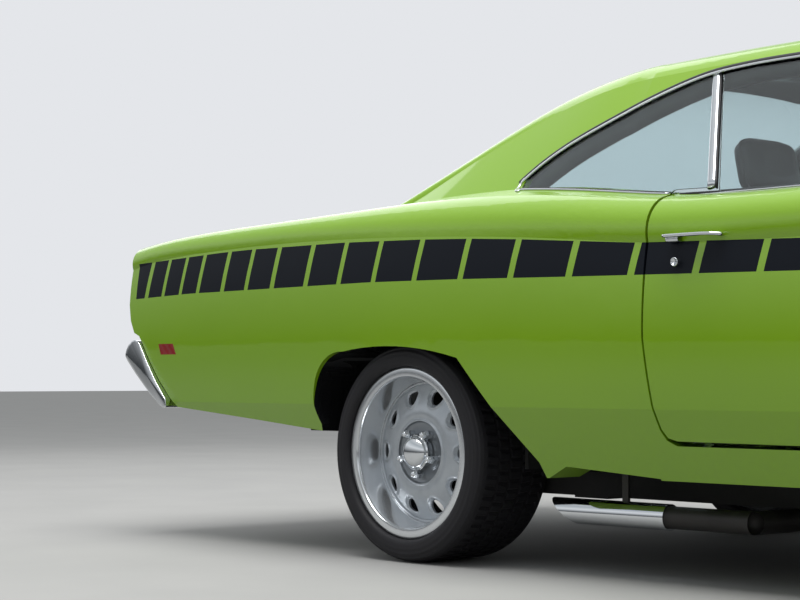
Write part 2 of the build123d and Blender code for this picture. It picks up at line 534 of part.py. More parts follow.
# Bumpers, grille and head lamps
bumper_end = [Line((-2600, 0), (-2600, 880)), Line((-2600, 880), (-2575, 880)),
              ThreePointArc((-2575, 880), (-2556, 930), (-2500, 953)), Line((-2500, 953), (-2300, 953)),
              Line((-2300, 953), (-2300, 0)), Line((-2300, 0), (-2600, 0))]
rear_bumper = side_prism(BUMPER, 0, 960) & extrude(Pos(0, 0, 390) * make_face(bumper_end), amount=260, dir=(0, 0, 1))
save("rear_bumper", whole(rear_bumper) - plate_holes(-2572, 578))
front_blade = plan_prism([(2575, 0), (2575, 800), (2552, 893), (2500, 920), (2420, 938), (2330, 950), (2330, 700),
                          (2500, 700), (2546, 650), (2546, 0)], 395, 545)
front_bumper = whole(front_blade - clear_of_body)
save("front_bumper", front_bumper - plate_holes(2575, 470))
save("grille", whole(grille()))
lamps = Compound(children=[tube_x(y, LAMP_Z, LAMP_R, GRILLE_X - 2, GRILLE_X + 20) for y in LAMPS_Y])
save("headlamps", left_and_right(lamps))

# Cabin
dash = side_prism([(820, 700), (700, 720), (640, 800), (680, 880), (860, 905), (1030, 905), (1030, 700)], -690, 690)
hoop = Torus(190, 13) + Cylinder(45, 30) + box(-190, 190, -13, 13, -5, 5) + Pos(0, 0, -150) * Cylinder(22, 290)
steering_wheel = Pos(430, 370, 850) * Rot(0, -62, 0) * hoop
save("steering_wheel", steering_wheel - dash)
save("dashboard", dash)
save("front_seats", Compound(children=[seat(385), seat(-385)]))
bench = side_prism([(-500, 310), (-480, 430), (-880, 400), (-950, 860), (-1060, 850), (-895, 440), (-890, 310)],
                   -560, 560)
bench = bench - box(-1000, -400, -TUNNEL_Y - 14, TUNNEL_Y + 14, 200, 402)
bench_foot = box(-890, -520, 150, 540, FLOOR_Z, 315)
shelf = Pos(0, 0, -1) * (lid_sheet & box(LID_X1 + GAP, -1000, 0, WALL_IN - 4, 700, 1100))
save("rear_seat", Compound(children=[bench + whole(bench_foot), whole(shelf)]))

# Exhaust and fuel tank
tip = tube_x(TIP_Y, TIP_Z, TIP_R, -800, -405)
slash = side_prism([(-801, 200), (-797, 194), (-709, 128), (-704, 120), (-900, 120), (-900, 200)], 700, 850)
muffler = box(MUFFLER_X0, 250, 230, 430, TIP_Z + PIPE_R - 1, FLOOR_Z - FLOOR_SHEET)
pipe = join([
    tube_x(PIPE_Y, PIPE_Z, PIPE_R, MUFFLER_X0, 1300), muffler, Pos(BEND_X, PIPE_Y, TIP_Z + 14) * Cylinder(PIPE_R, 28),
    tube_y(BEND_X, TIP_Z, PIPE_R, PIPE_Y, TIP_Y), Pos(BEND_X, PIPE_Y, TIP_Z) * Sphere(PIPE_R),
    Pos(BEND_X, TIP_Y, TIP_Z) * Sphere(PIPE_R), tube_x(TIP_Y, TIP_Z, PIPE_R, TIP_X, BEND_X),
    box(-560, -540, TIP_Y - 4, TIP_Y + 4, TIP_Z + TIP_R - 2, 290) - quarter,
])
save("exhaust", left_and_right(pipe - tip))
save("exhaust_tips", left_and_right(tip - tube_x(TIP_Y, TIP_Z, TIP_R - 3, -801, TIP_X - 40) - slash))
save("fuel_tank", box(-2235, -1640, -420, 420, TANK_Z, BOOT_Z))
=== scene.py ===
"""Two-door hardtop muscle car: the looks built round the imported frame, laid out as an add-on.

Lengths are in metres in the frame's axes: +X forward, +Y the car's left, +Z up, the floor at z = 0.
"""

import math

import bmesh
import bpy
import numpy as np
from bpy.props import FloatProperty, FloatVectorProperty, IntProperty, PointerProperty
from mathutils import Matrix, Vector
from mathutils.bvhtree import BVHTree


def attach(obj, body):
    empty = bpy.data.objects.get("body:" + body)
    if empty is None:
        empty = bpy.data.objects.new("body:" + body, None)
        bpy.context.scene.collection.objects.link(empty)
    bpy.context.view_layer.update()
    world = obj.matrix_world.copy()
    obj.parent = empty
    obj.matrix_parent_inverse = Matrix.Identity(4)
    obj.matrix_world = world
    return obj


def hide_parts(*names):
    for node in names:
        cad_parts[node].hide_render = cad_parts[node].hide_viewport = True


bl_info = {
    "name": "Muscle Car Dressing",
    "version": (1, 0, 0),
    "blender": (4, 5, 0),
    "location": "3D View > Sidebar > Muscle Car",
    "description": "Dresses a packed two-door hardtop with paint, wheels, trim, glass and seats",
    "category": "Object",
}

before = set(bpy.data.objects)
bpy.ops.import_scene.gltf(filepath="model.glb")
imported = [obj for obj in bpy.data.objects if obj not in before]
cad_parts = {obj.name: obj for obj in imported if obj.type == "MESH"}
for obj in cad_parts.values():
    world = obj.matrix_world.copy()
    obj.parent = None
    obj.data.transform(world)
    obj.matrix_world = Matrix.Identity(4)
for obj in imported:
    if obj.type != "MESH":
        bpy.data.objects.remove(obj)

AXLE_R, AXLE_F, TYRE_R = -1.223, 1.723, 0.300
WHEELS = {
    # name: (axle x, side, lip plane, tyre outside, tyre inside)
    "rear_right": (AXLE_R, -1, 0.910, 0.925, 0.640),
    "rear_left": (AXLE_R, 1, 0.910, 0.925, 0.640),
    "front_right": (AXLE_F, -1, 0.893, 0.905, 0.660),
    "front_left": (AXLE_F, 1, 0.893, 0.905, 0.660),
}
SIDES = {"right": -1, "left": 1}
UP, AHEAD, BACK = (0.0, 0.0, 1.0), (1.0, 0.0, 0.0), (-1.0, 0.0, 0.0)

# Stripe of slanted blocks along the side: gap centres, then its lower and upper edge by x
STRIPE_GAPS = [-2.560, -2.427, -2.334, -2.237, -2.144, -2.012, -1.890, -1.762, -1.598, -1.446, -1.295,
               -1.125, -0.946, -0.765, -0.565, -0.365, -0.167, 0.019, 0.205, 0.395, 0.585, 0.775, 0.965,
               1.155, 1.345, 1.535, 1.725, 1.915, 2.105, 2.295]
STRIPE_LOW = [(-2.60, 0.758), (-2.20, 0.768), (-1.33, 0.770), (-0.97, 0.765), (-0.60, 0.757),
              (-0.19, 0.749), (0.18, 0.742), (2.60, 0.716)]
STRIPE_TOP = [(-2.60, 0.872), (-2.30, 0.881), (-2.05, 0.889), (-1.90, 0.891), (-1.46, 0.888),
              (-1.13, 0.879), (-0.94, 0.871), (-0.76, 0.860), (-0.56, 0.845), (-0.37, 0.831), (0.19, 0.814),
              (1.03, 0.800), (1.90, 0.782), (2.60, 0.752)]
STRIPE_SPAN, STRIPE_HEIGHTS, STRIPE_MIDDLE, STRIPE_REAR = (-2.60, 2.60), (0.70, 0.90), 0.828, -2.502

# Side window opening in side view, from the rear tip up the sail, along the rail and down the pillar
WINDOW = [(-0.893, 1.020), (-0.884, 1.034), (-0.862, 1.058), (-0.783, 1.111), (-0.678, 1.158),
          (-0.557, 1.208), (-0.447, 1.245), (-0.358, 1.267), (-0.214, 1.276), (0.080, 1.277),
          (0.225, 1.266), (0.740, 0.952)]
# Bright strip's hook round the opening's rear tip
TIP = [(-0.862, 0.9955), (-0.882, 0.9975), (-0.8945, 1.0045), (-0.9000, 1.0140), (-0.8985, 1.0235),
       (-0.8900, 1.0370)]
TRIM_MARGIN = 0.006
SCREENS = {
    # half of a fixed screen in plan, from the middle of its top edge
    "windscreen": [(0.378, 0.0), (0.374, 0.20), (0.357, 0.43), (0.325, 0.608), (0.860, 0.815)],
    "rear_window": [(-0.725, 0.0), (-0.729, 0.22), (-0.741, 0.40), (-0.749, 0.505), (-1.372, 0.628)],
}

# Side glass in side view: the lower and upper edge of a pane, and the leaning strip between the panes
QUARTER_PANE = (
    [(-0.882, 0.996), (-0.800, 0.992), (-0.600, 0.968), (-0.345, 0.947), (-0.332, 0.9620), (-0.224, 0.9597)],
    [(-0.882, 1.033), (-0.862, 1.056), (-0.783, 1.109), (-0.678, 1.156), (-0.557, 1.206), (-0.447, 1.243),
     (-0.350, 1.264)],
)
DOOR_PANE = (
    [(-0.1786, 0.925), (0.748, 0.925)],
    [(-0.3215, 1.2625), (-0.214, 1.270), (0.080, 1.271), (0.2225, 1.2605), (0.7335, 0.949)],
)
PANE_THICK = 0.0055
DIVIDER = [(-0.3489, 1.274), (-0.2185, 0.9610)]
DIVIDER_SEAL = [(-0.3348, 1.275), (-0.2044, 0.9605)]
BELT_PARTS = {
    # part: (its rays' place outside the glass, shift outwards, lift, width, height, finish, slot)
    "strip": (0.0035, 0.003, 0.0005, 0.0075, 0.0060, "chrome_plate", "chrome"),
    "seal": (-0.0005, -0.003, 0.0010, 0.0110, 0.0070, "rubber_seal", "black_plastic"),
}
# Section of the lining under the roof rail: so far down from the opening and so far out of the skin
LINING = [(-0.004, -0.0235), (0.004, -0.0260), (0.012, -0.0380), (0.017, -0.0540), (0.010, -0.0660),
          (-0.026, -0.0680), (-0.032, -0.0340)]

# Wheel: the slotted disc's crown as (radius, depth behind the lip plane)
DISC_IN, DISC_OUT, DISC_SHEET, SLOT_AT, SLOTS = 0.098, 0.186, 0.0065, 0.158, 10
CROWN = [(0.098, -0.0520), (0.108, -0.0508), (0.120, -0.0528), (0.135, -0.0580), (0.150, -0.0645),
         (0.165, -0.0708), (0.178, -0.0762), (0.186, -0.0790)]
NUT_CIRCLE = 0.0603
NUT = [(0.0124, -0.058), (0.0124, -0.034), (0.0108, -0.031), (0.0098, -0.027), (0.0078, -0.0225),
       (0.0045, -0.0195), (0.0, -0.0185)]
# Side wall of a tyre: radius and depth from its outside plane
TYRE_WALL = [(0.2366, -0.0205), (0.2370, -0.013), (0.2392, -0.006), (0.2450, -0.0015), (0.2530, 0.0),
             (0.2600, -0.0003), (0.2612, 0.0), (0.2660, -0.0006), (0.2740, -0.0026), (0.2752, -0.0020),
             (0.2800, -0.0050), (0.2860, -0.0095), (0.2865, -0.0085), (0.2920, -0.0150),
             (0.2962, -0.0235), (0.2985, -0.0330)]

# Rear bumper in side view: up along the body's tail, over the top, round the crease and back under
BUMPER = [(-2.310, 0.437), (-2.370, 0.500), (-2.416, 0.558), (-2.450, 0.606), (-2.461, 0.620),
          (-2.482, 0.6280), (-2.512, 0.6240), (-2.543, 0.612), (-2.561, 0.598), (-2.573, 0.581),
          (-2.5735, 0.575), (-2.560, 0.560), (-2.510, 0.519), (-2.419, 0.453), (-2.358, 0.421),
          (-2.324, 0.410), (-2.306, 0.413)]
PLATE_BOLT, PLATE_BOLT_Y = [(0.0075, -0.008), (0.0075, 0.0010), (0.0065, 0.0018), (0.0, 0.0018)], 0.089

# Door furniture of the left side
HANDLE_BLADE = [(-0.262, 0.9560, 0.8395), (-0.240, 0.9575, 0.8395), (-0.200, 0.9570, 0.8395),
                (-0.150, 0.9545, 0.8395), (-0.115, 0.9500, 0.8380), (-0.104, 0.9420, 0.8360)]
HANDLE_FOOT = [(-0.246, 0.934, 0.838), (-0.246, 0.952, 0.838), (-0.246, 0.955, 0.829),
               (-0.246, 0.947, 0.826), (-0.246, 0.934, 0.826)]
MIRROR_STEM = [(0.715, 0.885, 0.930), (0.715, 0.889, 0.950), (0.714, 0.905, 0.972), (0.713, 0.925, 0.988)]
LOCK = [(0.0110, 0.0), (0.0110, 0.020), (0.0104, 0.0225), (0.0092, 0.0232), (0.0084, 0.0222),
        (0.0082, 0.0212), (0.0035, 0.0208), (0.0030, 0.0195), (0.0, 0.0195)]

# Lamps: the places of the round lamps, and their turned sections as (radius, x)
LAMPS_Y, LAMP_Z = (0.530, 0.682), 0.638
BOWL = [(0.067, 2.4935), (0.055, 2.4925), (0.030, 2.4912), (0.0, 2.4908)]
BEZEL = [(0.0675, 2.492), (0.0675, 2.506), (0.070, 2.510), (0.0735, 2.511), (0.0755, 2.508),
         (0.076, 2.500), (0.076, 2.492)]
TAIL_LAMP = [(-2.5405, 0.430, 0.706), (-2.5405, 0.735, 0.706), (-2.5405, 0.735, 0.800),
             (-2.5405, 0.430, 0.800)]

SEAT_Y, GROOVE_DEPTH = 0.385, 0.006
REAR_DECK = {
    # piece: (rear x, front x, finish, slot)
    "deck_panel": (-1.545, -1.415, "lime_enamel", "body_paint"),
    "parcel_shelf": (-1.415, -1.010, "moulded_black", "black_plastic"),
}

FINISHES = {
    # finish: CAD nodes that keep their shape
    "lime_enamel_striped": ["quarter_right", "quarter_left", "door_right", "door_left", "fender_right",
                            "fender_left"],
    "lime_enamel": ["rockers", "roof", "cowl", "tail_panel", "nose_panel", "hood", "trunk_lid"],
    "undercoat": ["floor_pan", "chassis_frame", "inner_fenders", "driveline", "rear_axle", "fuel_tank",
                  "door_hinges"],
    "sand_cast_iron": ["engine_block", "knuckle_right", "knuckle_left"],
    "float_glass": ["windshield", "rear_window"],
    "chrome_plate": ["front_bumper", "exhaust_tips"],
    "moulded_black": ["grille", "dashboard", "steering_wheel"],
    "lens_red": ["tail_lamps"],
    "marker_lens": ["side_markers"],
    "exhaust_steel": ["exhaust"],
}
PLAIN_FINISHES = {
    # finish: (two colours, cloud scale, relief scale, relief, roughness span, metallic, specular level)
    # Plated steel: a mirror with faint polishing waves
    "chrome_plate": (("C9CDD1", "E2E4E6"), 3.0, 60.0, 0.02, (0.04, 0.10), 1.0),
    # Extruded EPDM: matt, slightly dusty
    "rubber_seal": (("131215", "1D1C20"), 40.0, 900.0, 0.3, (0.55, 0.7)),
    # Vulcanised tread rubber: dull with a brown-grey bloom
    "tread_rubber": (("121114", "1F1E22"), 18.0, 700.0, 0.35, (0.5, 0.75), 0.0, 0.35),
    # Moulded ABS with a pebble grain
    "moulded_black": (("121315", "1B1C1F"), 25.0, 500.0, 0.25, (0.4, 0.55)),
    # Sprayed undercoat: rough, with road dust
    "undercoat": (("0F0F10", "232220"), 12.0, 260.0, 0.6, (0.65, 0.9)),
    # Sand-cast iron with an oily film
    "sand_cast_iron": (("2B2B2D", "48474A"), 30.0, 400.0, 0.6, (0.45, 0.7), 0.7),
    # Aluminised exhaust pipe, dulled by heat and dust
    "exhaust_steel": (("2C2B2B", "4A4846"), 14.0, 300.0, 0.3, (0.4, 0.65), 0.8),
    # Calendered vinyl with a leather grain
    "grained_vinyl": (("0E0F12", "191A1E"), 20.0, 620.0, 0.5, (0.36, 0.5)),
    # Vacuum-metallised bowl or silvered glass: a clean mirror with faint haze
    "lamp_mirror": (("D0D4D8", "DADDE0"), 8.0, 30.0, 0.01, (0.02, 0.06), 1.0),
}
# Colours of the lenses, then of the lenses of the front end, and colours of the glasses
LENSES = {"lens_red": ("5A0709", "5A0709"), "marker_lens": ("8A1013", "B5560C")}
GLASSES = {"float_glass": "E3F2F4", "pressed_glass": "F2F4F4"}

FLOOR_HALF, BACKDROP = 60.0, "E4E6EA"
# Sky colours by height. It is dark low round the car, as trees are in the photo, so that paint and chrome
# have something to mirror, and pale over that.
SKY = ((0.0, "2E3234"), (0.30, "F2F5F8"), (0.55, "BFC5CA"), (1.0, "FFFFFF"))
LIGHTS = {
    # name: (energy, size, place, aim)
    "key": (820, 6.0, (-0.6, -1.4, 8.0), (-0.8, -0.6, 0.8)),
    "fill": (90, 5.0, (-7.0, 2.0, 5.0), (-1.0, 0, 0.6)),
}
CAMERA_AT, CAMERA_TURN, LENS = (2.6254, -4.3959, 0.5049), (math.pi / 2 + 0.041268, 0.0, 0.83811), 85.0


class CarPaintSettings(bpy.types.PropertyGroup):
    """Colours of the body."""
    lime: FloatVectorProperty(name="Lime", description="Body colour", subtype="COLOR", size=3,
                              default=(0.200, 0.370, 0.008))
    lime_deep: FloatVectorProperty(name="Deep lime", description="Body colour where the pigment lies thicker",
                                   subtype="COLOR", size=3, default=(0.160, 0.315, 0.006))
    stripe: FloatVectorProperty(name="Stripe", description="Colour of the block stripe", subtype="COLOR",
                                size=3, default=(0.0045, 0.0062, 0.0105))
    slant: FloatProperty(name="Stripe slant", description="Forward lean of a block per metre of height",
                         default=0.20, min=0.0, max=1.0)


class CarWheelSettings(bpy.types.PropertyGroup):
    """Sizes of the tyres and the wheel centres."""
    groove: FloatProperty(name="Tread depth", description="Depth of the tread grooves", default=0.007,
                          min=0.001, max=0.012, unit="LENGTH")
    groove_width: FloatProperty(name="Groove width", description="Width of a groove round the tyre",
                                default=0.009, min=0.003, max=0.015, unit="LENGTH")
    blocks: IntProperty(name="Tread blocks", description="Number of blocks round the tyre", default=64,
                        min=24, max=96)
    cap: FloatProperty(name="Cap radius", description="Radius of the domed centre cap", default=0.046,
                       min=0.03, max=0.06, unit="LENGTH")


class CarTrimSettings(bpy.types.PropertyGroup):
    """Sizes of the bright and rubber strips."""
    chrome: FloatProperty(name="Bright strip", description="Width of the bright strip round a side window",
                          default=0.007, min=0.003, max=0.02, unit="LENGTH")
    rubber: FloatProperty(name="Rubber strip", description="Width of the rubber strip over a side window",
                          default=0.010, min=0.003, max=0.02, unit="LENGTH")
    screen: FloatProperty(name="Screen moulding", description="Width of the moulding round the fixed screens",
                          default=0.016, min=0.005, max=0.03, unit="LENGTH")


class CarSeatSettings(bpy.types.PropertyGroup):
    """Shape of the seat cushions."""
    crown: FloatProperty(name="Crown", description="How far the middle of a cushion stands over its edge, "
                         "as a share of its thickness", default=0.30, min=0.0, max=0.6)
    channel: FloatProperty(name="Channel pitch", description="Distance between two sewn channels",
                           default=0.055, min=0.02, max=0.12, unit="LENGTH")
    piping: FloatProperty(name="Piping", description="Radius of the piping round a cushion",
                          default=0.0045, min=0.001, max=0.008, unit="LENGTH")


def rgb(text):
    """An sRGB hex colour as linear RGBA."""
    parts = [int(text[i:i + 2], 16) / 255 for i in (0, 2, 4)]
    return (*[c / 12.92 if c <= 0.04045 else ((c + 0.055) / 1.055) ** 2.4 for c in parts], 1.0)


def live(node):
    """A node's first output in use."""
    return next(socket for socket in node.outputs if socket.enabled)


def put(tree, kind, inputs=None, **settings):
    """One node with its settings. An input that is a node or a socket is linked, any other is set."""
    node = tree.nodes.new(kind)
    for key, value in settings.items():
        setattr(node, key, value)
    for key, value in (inputs or {}).items():
        into = node.inputs[key] if isinstance(key, int) else next(
            s for s in node.inputs if s.name == key and s.enabled)
        if isinstance(value, bpy.types.Node):
            value = live(value)
        if isinstance(value, bpy.types.NodeSocket):
            tree.links.new(value, into)
        else:
            into.default_value = value
    return node


def math_of(tree, operation, *values):
    """A Math node over its values."""
    return put(tree, "ShaderNodeMath", dict(enumerate(values)), operation=operation)


def product(tree, *factors):
    """The product of several masks."""
    total = factors[0]
    for factor in factors[1:]:
        total = math_of(tree, "MULTIPLY", total, factor)
    return total


def blend(tree, factor, low, high):
    """A mix of two colours."""
    return put(tree, "ShaderNodeMix", {"Factor": factor, "A": low, "B": high}, data_type="RGBA")


def noise(tree, place, scale, detail=2.0):
    """Cloud noise in object coordinates. Its scale is one over the size of a spot in metres."""
    return put(tree, "ShaderNodeTexNoise", {"Vector": place.outputs["Object"], "Scale": scale,
                                            "Detail": detail})


def parts_of(tree, vector):
    """The x, y and z sockets of a vector."""
    return put(tree, "ShaderNodeSeparateXYZ", {0: vector}).outputs[:]


def feed(tree, shader, slot, node):
    """Link a node to an input of a shader."""
    tree.links.new(live(node), shader.inputs[slot])


def emboss(tree, shader, height, strength, distance, slot="Normal"):
    """Relief on a shader, from a height that counts over a distance in metres."""
    feed(tree, shader, slot, put(tree, "ShaderNodeBump", {"Height": height, "Strength": strength,
                                                          "Distance": distance}))


def new_material(name, **inputs):
    """A material with constants on its Principled shader, its node tree, the shader and coordinates."""
    material = bpy.data.materials.new(name)
    material.use_nodes = True
    tree = material.node_tree
    shader = tree.nodes["Principled BSDF"]
    for key, value in inputs.items():
        shader.inputs[key.replace("_", " ")].default_value = value
    return material, tree, shader, put(tree, "ShaderNodeTexCoord")


def grain(tree, shader, place, colours, scale, bump_scale, bump, rough=None):
    """Cloudy colour between two hex values, uneven roughness and a fine bump, by noises of real size."""
    cloud = noise(tree, place, scale, 3.0)
    feed(tree, shader, "Base Color", blend(tree, cloud, *map(rgb, colours)))
    emboss(tree, shader, noise(tree, place, bump_scale), bump, 0.001)
    if rough:
        feed(tree, shader, "Roughness", put(tree, "ShaderNodeMapRange", {
            "Value": cloud, "To Min": rough[0], "To Max": rough[1]}))


def unit(vectors):
    """Vectors brought to a length of one."""
    vectors = np.asarray(vectors, float)
    return vectors / np.linalg.norm(vectors, axis=-1, keepdims=True)


def left_of(line):
    """The unit vector to the left of a flat line at each of its points."""
    run = unit(np.gradient(line, axis=0))
    return np.stack([-run[:, 1], run[:, 0]], -1)


def grid_faces(rows, columns, loop_rows=False, loop_columns=False, start=0):
    """Quads over a grid of points, wrapped round in either direction."""
    i = np.arange(rows if loop_rows else rows - 1)
    j = np.arange(columns if loop_columns else columns - 1)
    i, j = np.meshgrid(i, j, indexing="ij")
    here, below, beside = i * columns, (i + 1) % rows * columns, (j + 1) % columns
    return np.stack([here + j, here + beside, below + beside, below + j], -1).reshape(-1, 4) + start


def loft(points, closed=False):
    """Rings of points as one skin. Its end rings are closed to their middles unless the rings run round."""
    rows, columns = points.shape[:2]
    faces = grid_faces(rows, columns, loop_rows=closed, loop_columns=True)
    if closed:
        return points, faces
    hubs = points[[0, -1]].mean(1, keepdims=True).repeat(columns, 1)
    here = np.arange(columns)
    after = (here + 1) % columns
    last, near, far = ((rows + k) * columns for k in (-1, 0, 1))
    caps = [np.stack([here, after, near + after, near + here], -1),
            np.stack([last + after, last + here, far + here, far + after], -1)]
    return np.concatenate([points, hubs]), np.concatenate([faces, *caps])


def slab(front, back):
    """Two grids of points of the same shape as one closed plate, its rim walled."""
    rows, columns = front.shape[:2]
    size = rows * columns
    rim = np.concatenate([np.arange(columns), np.arange(1, rows) * columns + columns - 1,
                          (rows - 1) * columns + np.arange(columns - 2, -1, -1),
                          np.arange(rows - 2, 0, -1) * columns])
    after = np.roll(rim, -1)
    edge = np.stack([rim, after, after + size, rim + size], -1)
    return np.stack([front, back]), np.concatenate([grid_faces(rows, columns),
                                                    grid_faces(rows, columns, start=size), edge])


def lathe(profile, origin, axis, turns=64, ripple=None):
    """A surface of revolution: the (radius, height) profile turned round a level axis through an origin.
    A ripple of (count, share) makes the outline a soft polygon of that many sides."""
    radius, height = np.asarray(profile, float).T
    angle = np.linspace(0, 2 * np.pi, turns, endpoint=False)
    across = unit(np.cross(axis, UP))
    up = np.cross(axis, across)
    swell = np.ones(turns)
    if ripple:
        side = np.pi / ripple[0]
        swell = 1 + ripple[1] * (np.cos(side) / np.cos((angle % (2 * side)) - side) - 1)
    ring = np.cos(angle)[:, None] * across + np.sin(angle)[:, None] * up
    points = (np.asarray(origin, float) + ring[:, None] * (radius[None, :, None] * swell[:, None, None])
              + height[None, :, None] * np.asarray(axis, float))
    return points, grid_faces(turns, len(profile), loop_rows=True)


def carry(path, outward, section, closed=False):
    """A section carried along a path: each section point is so far along the vector square to the path and
    to the outward vector, and so far outward. The outward vector is one for all or one for each place."""
    path, section = np.asarray(path, float), np.asarray(section, float)[None]
    run = unit(np.roll(path, -1, 0) - np.roll(path, 1, 0) if closed else np.gradient(path, axis=0))
    across = unit(np.cross(run, outward))
    outward = np.cross(across, run)
    return loft(path[:, None] + across[:, None] * section[..., :1] + outward[:, None] * section[..., 1:],
                closed)


def oval(width, height, count=12, lift=0.0):
    """A rounded section: points of a squarish ellipse of a width and a height, its middle lifted."""
    t = np.linspace(0, 2 * np.pi, count, endpoint=False)
    return np.stack([width / 2 * np.sign(np.cos(t)) * np.abs(np.cos(t)) ** 0.6,
                     lift + height / 2 * np.sign(np.sin(t)) * np.abs(np.sin(t)) ** 0.6], -1)


def spread(points, step=None, count=None):
    """Points at even steps along a polyline: one at about every step, or a number of them."""
    points = np.asarray(points, float)
    along = np.concatenate([[0], np.cumsum(np.linalg.norm(np.diff(points, axis=0), axis=1))])
    if step:
        count = max(int(round(along[-1] / step)), 2) + 1
    at = np.linspace(0, along[-1], count)
    return np.stack([np.interp(at, along, points[:, k]) for k in range(points.shape[1])], -1)


def soften(values, width):
    """A running mean along rows that keeps the two ends."""
    pad = np.concatenate([values[:1].repeat(width, 0), values, values[-1:].repeat(width, 0)])
    window = np.ones(2 * width + 1) / (2 * width + 1)
    smooth = np.stack([np.convolve(pad[:, k], window, "valid") for k in range(values.shape[1])], -1)
    place = np.arange(len(values))
    share = np.clip(np.minimum(place, place[::-1]) / width, 0, 1)[:, None]
    return share * smooth + (1 - share) * values


def join_parts(parts):
    """Several (points, faces) pairs as one."""
    points, faces, start = [], [], 0
    for part_points, part_faces in parts:
        part_points = np.asarray(part_points, float).reshape(-1, 3)
        points.append(part_points)
        faces.append(np.asarray(part_faces) + start)
        start += len(part_points)
    return np.concatenate(points), np.concatenate(faces)


def mesh_object(name, points, faces, smooth=True, crease=None):
    """A mesh object from an array of points and an array of faces, doubles merged and normals outwards.
    Edges that turn by more than the crease, in degrees, stay sharp."""
    mesh = bpy.data.meshes.new(name)
    mesh.from_pydata(np.asarray(points, float).reshape(-1, 3).tolist(), [], np.asarray(faces).tolist())
    work = bmesh.new()
    work.from_mesh(mesh)
    bmesh.ops.remove_doubles(work, verts=work.verts, dist=1e-6)
    bmesh.ops.dissolve_degenerate(work, edges=work.edges, dist=1e-7)
    bmesh.ops.recalc_face_normals(work, faces=work.faces)
    work.to_mesh(mesh)
    work.free()
    mesh.polygons.foreach_set("use_smooth", [smooth] * len(mesh.polygons))
    if crease:
        mesh.set_sharp_from_angle(angle=math.radians(crease))
    mesh.update()
    obj = bpy.data.objects.new(name, mesh)
    bpy.context.scene.collection.objects.link(obj)
    return obj


def make(name, shape, body, finish, stands_for=(), crease=None):
    """A piece from (points, faces), with its body, finish and the CAD nodes it stands for."""
    obj = mesh_object(name, *shape, crease=crease)
    obj.data.materials.append(material_named(finish))
    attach(obj, body)
    if stands_for:
        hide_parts(*stands_for)
    return obj


def skin_of(nodes):
    """A ray target of the faces of some CAD nodes."""
    points, faces, start = [], [], 0
    for name in nodes:
        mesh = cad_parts[name].data
        mesh.calc_loop_triangles()
        spots = np.empty(3 * len(mesh.vertices))
        mesh.vertices.foreach_get("co", spots)
        corners = np.empty(3 * len(mesh.loop_triangles), np.int32)
        mesh.loop_triangles.foreach_get("vertices", corners)
        points.append(spots.reshape(-1, 3))
        faces.append(corners.reshape(-1, 3) + start)
        start += len(mesh.vertices)
    return BVHTree.FromPolygons(np.concatenate(points).tolist(), np.concatenate(faces).tolist())


def land(target, starts, direction):
    """Where rays from some places meet the target, with the surface's outward direction there."""
    hits, normals = [], []
    direction = Vector(direction)
    for start in starts:
        hit, normal, _, _ = target.ray_cast(Vector(start), direction, 6.0)
        if hit is None:
            continue
        hits.append(hit[:])
        normals.append((-normal if normal.dot(direction) > 0 else normal)[:])
    return np.array(hits), np.array(normals)


def land_across(target, spots, side):
    """Where rays across the car from one side meet the target, at places (x, z) in side view."""
    x, z = np.asarray(spots, float).T
    return land(target, np.column_stack([x, np.full(len(x), 2.0 * side), z]), (0.0, -float(side), 0.0))


def land_down(target, spots, height=1.2):
    """Where rays down from a height meet the target, at places (x, y) in plan."""
    return land(target, np.column_stack([spots, np.full(len(spots), height)]), (0.0, 0.0, -1.0))


def drawn_curve(tree, value, points, span, heights):
    """A drawn line of (x, value) points as a Float Curve between two Map Range nodes."""
    low, high = heights
    share = put(tree, "ShaderNodeMapRange", {"Value": value, "From Min": span[0], "From Max": span[1]})
    curve = put(tree, "ShaderNodeFloatCurve", {"Value": share})
    line = curve.mapping.curves[0]
    spots = [((x - span[0]) / (span[1] - span[0]), (v - low) / (high - low)) for x, v in points]
    line.points[0].location = spots[0]
    line.points[-1].location = spots[-1]
    for spot in spots[1:-1]:
        line.points.new(*spot)
    for point in line.points:
        point.handle_type = "VECTOR"
    curve.mapping.update()
    return put(tree, "ShaderNodeMapRange", {"Value": curve, "To Min": low, "To Max": high})


def axle_distance(tree, x, z):
    """How far a point is from the nearer axle in side view."""
    side = math_of(tree, "SIGN", x)
    middle = math_of(tree, "MULTIPLY_ADD", side, (AXLE_F - AXLE_R) / 2, (AXLE_F + AXLE_R) / 2)
    flat = put(tree, "ShaderNodeCombineXYZ", {"X": math_of(tree, "SUBTRACT", x, middle),
                                              "Y": math_of(tree, "SUBTRACT", z, TYRE_R)})
    return put(tree, "ShaderNodeVectorMath", {0: flat}, operation="LENGTH").outputs["Value"]


def hidden_mask(tree, place, x, y, z):
    """1 on faces that turn to the car's middle, in the wheel wells and under the walls, 0 on the outer skin.
    Over 0.55 m a face that looks up counts as outer. A well is what lies 0.50 m round an axle, inside the
    side walls, and doesn't look sideways."""
    _, turn_y, turn_z = parts_of(tree, place.outputs["Normal"])
    high = math_of(tree, "MAXIMUM", math_of(tree, "SUBTRACT", z, 0.55), 0.0)
    up = math_of(tree, "MULTIPLY", turn_z, high)
    inward = math_of(tree, "LESS_THAN", math_of(tree, "MULTIPLY_ADD", turn_y, y, up), -0.03)
    flat = math_of(tree, "LESS_THAN", math_of(tree, "ABSOLUTE", turn_y), 0.35)
    near = math_of(tree, "LESS_THAN", axle_distance(tree, x, z), 0.50)
    wide = math_of(tree, "LESS_THAN", math_of(tree, "ABSOLUTE", y), 0.9435)
    return math_of(tree, "MAXIMUM", inward, product(tree, flat, near, wide))


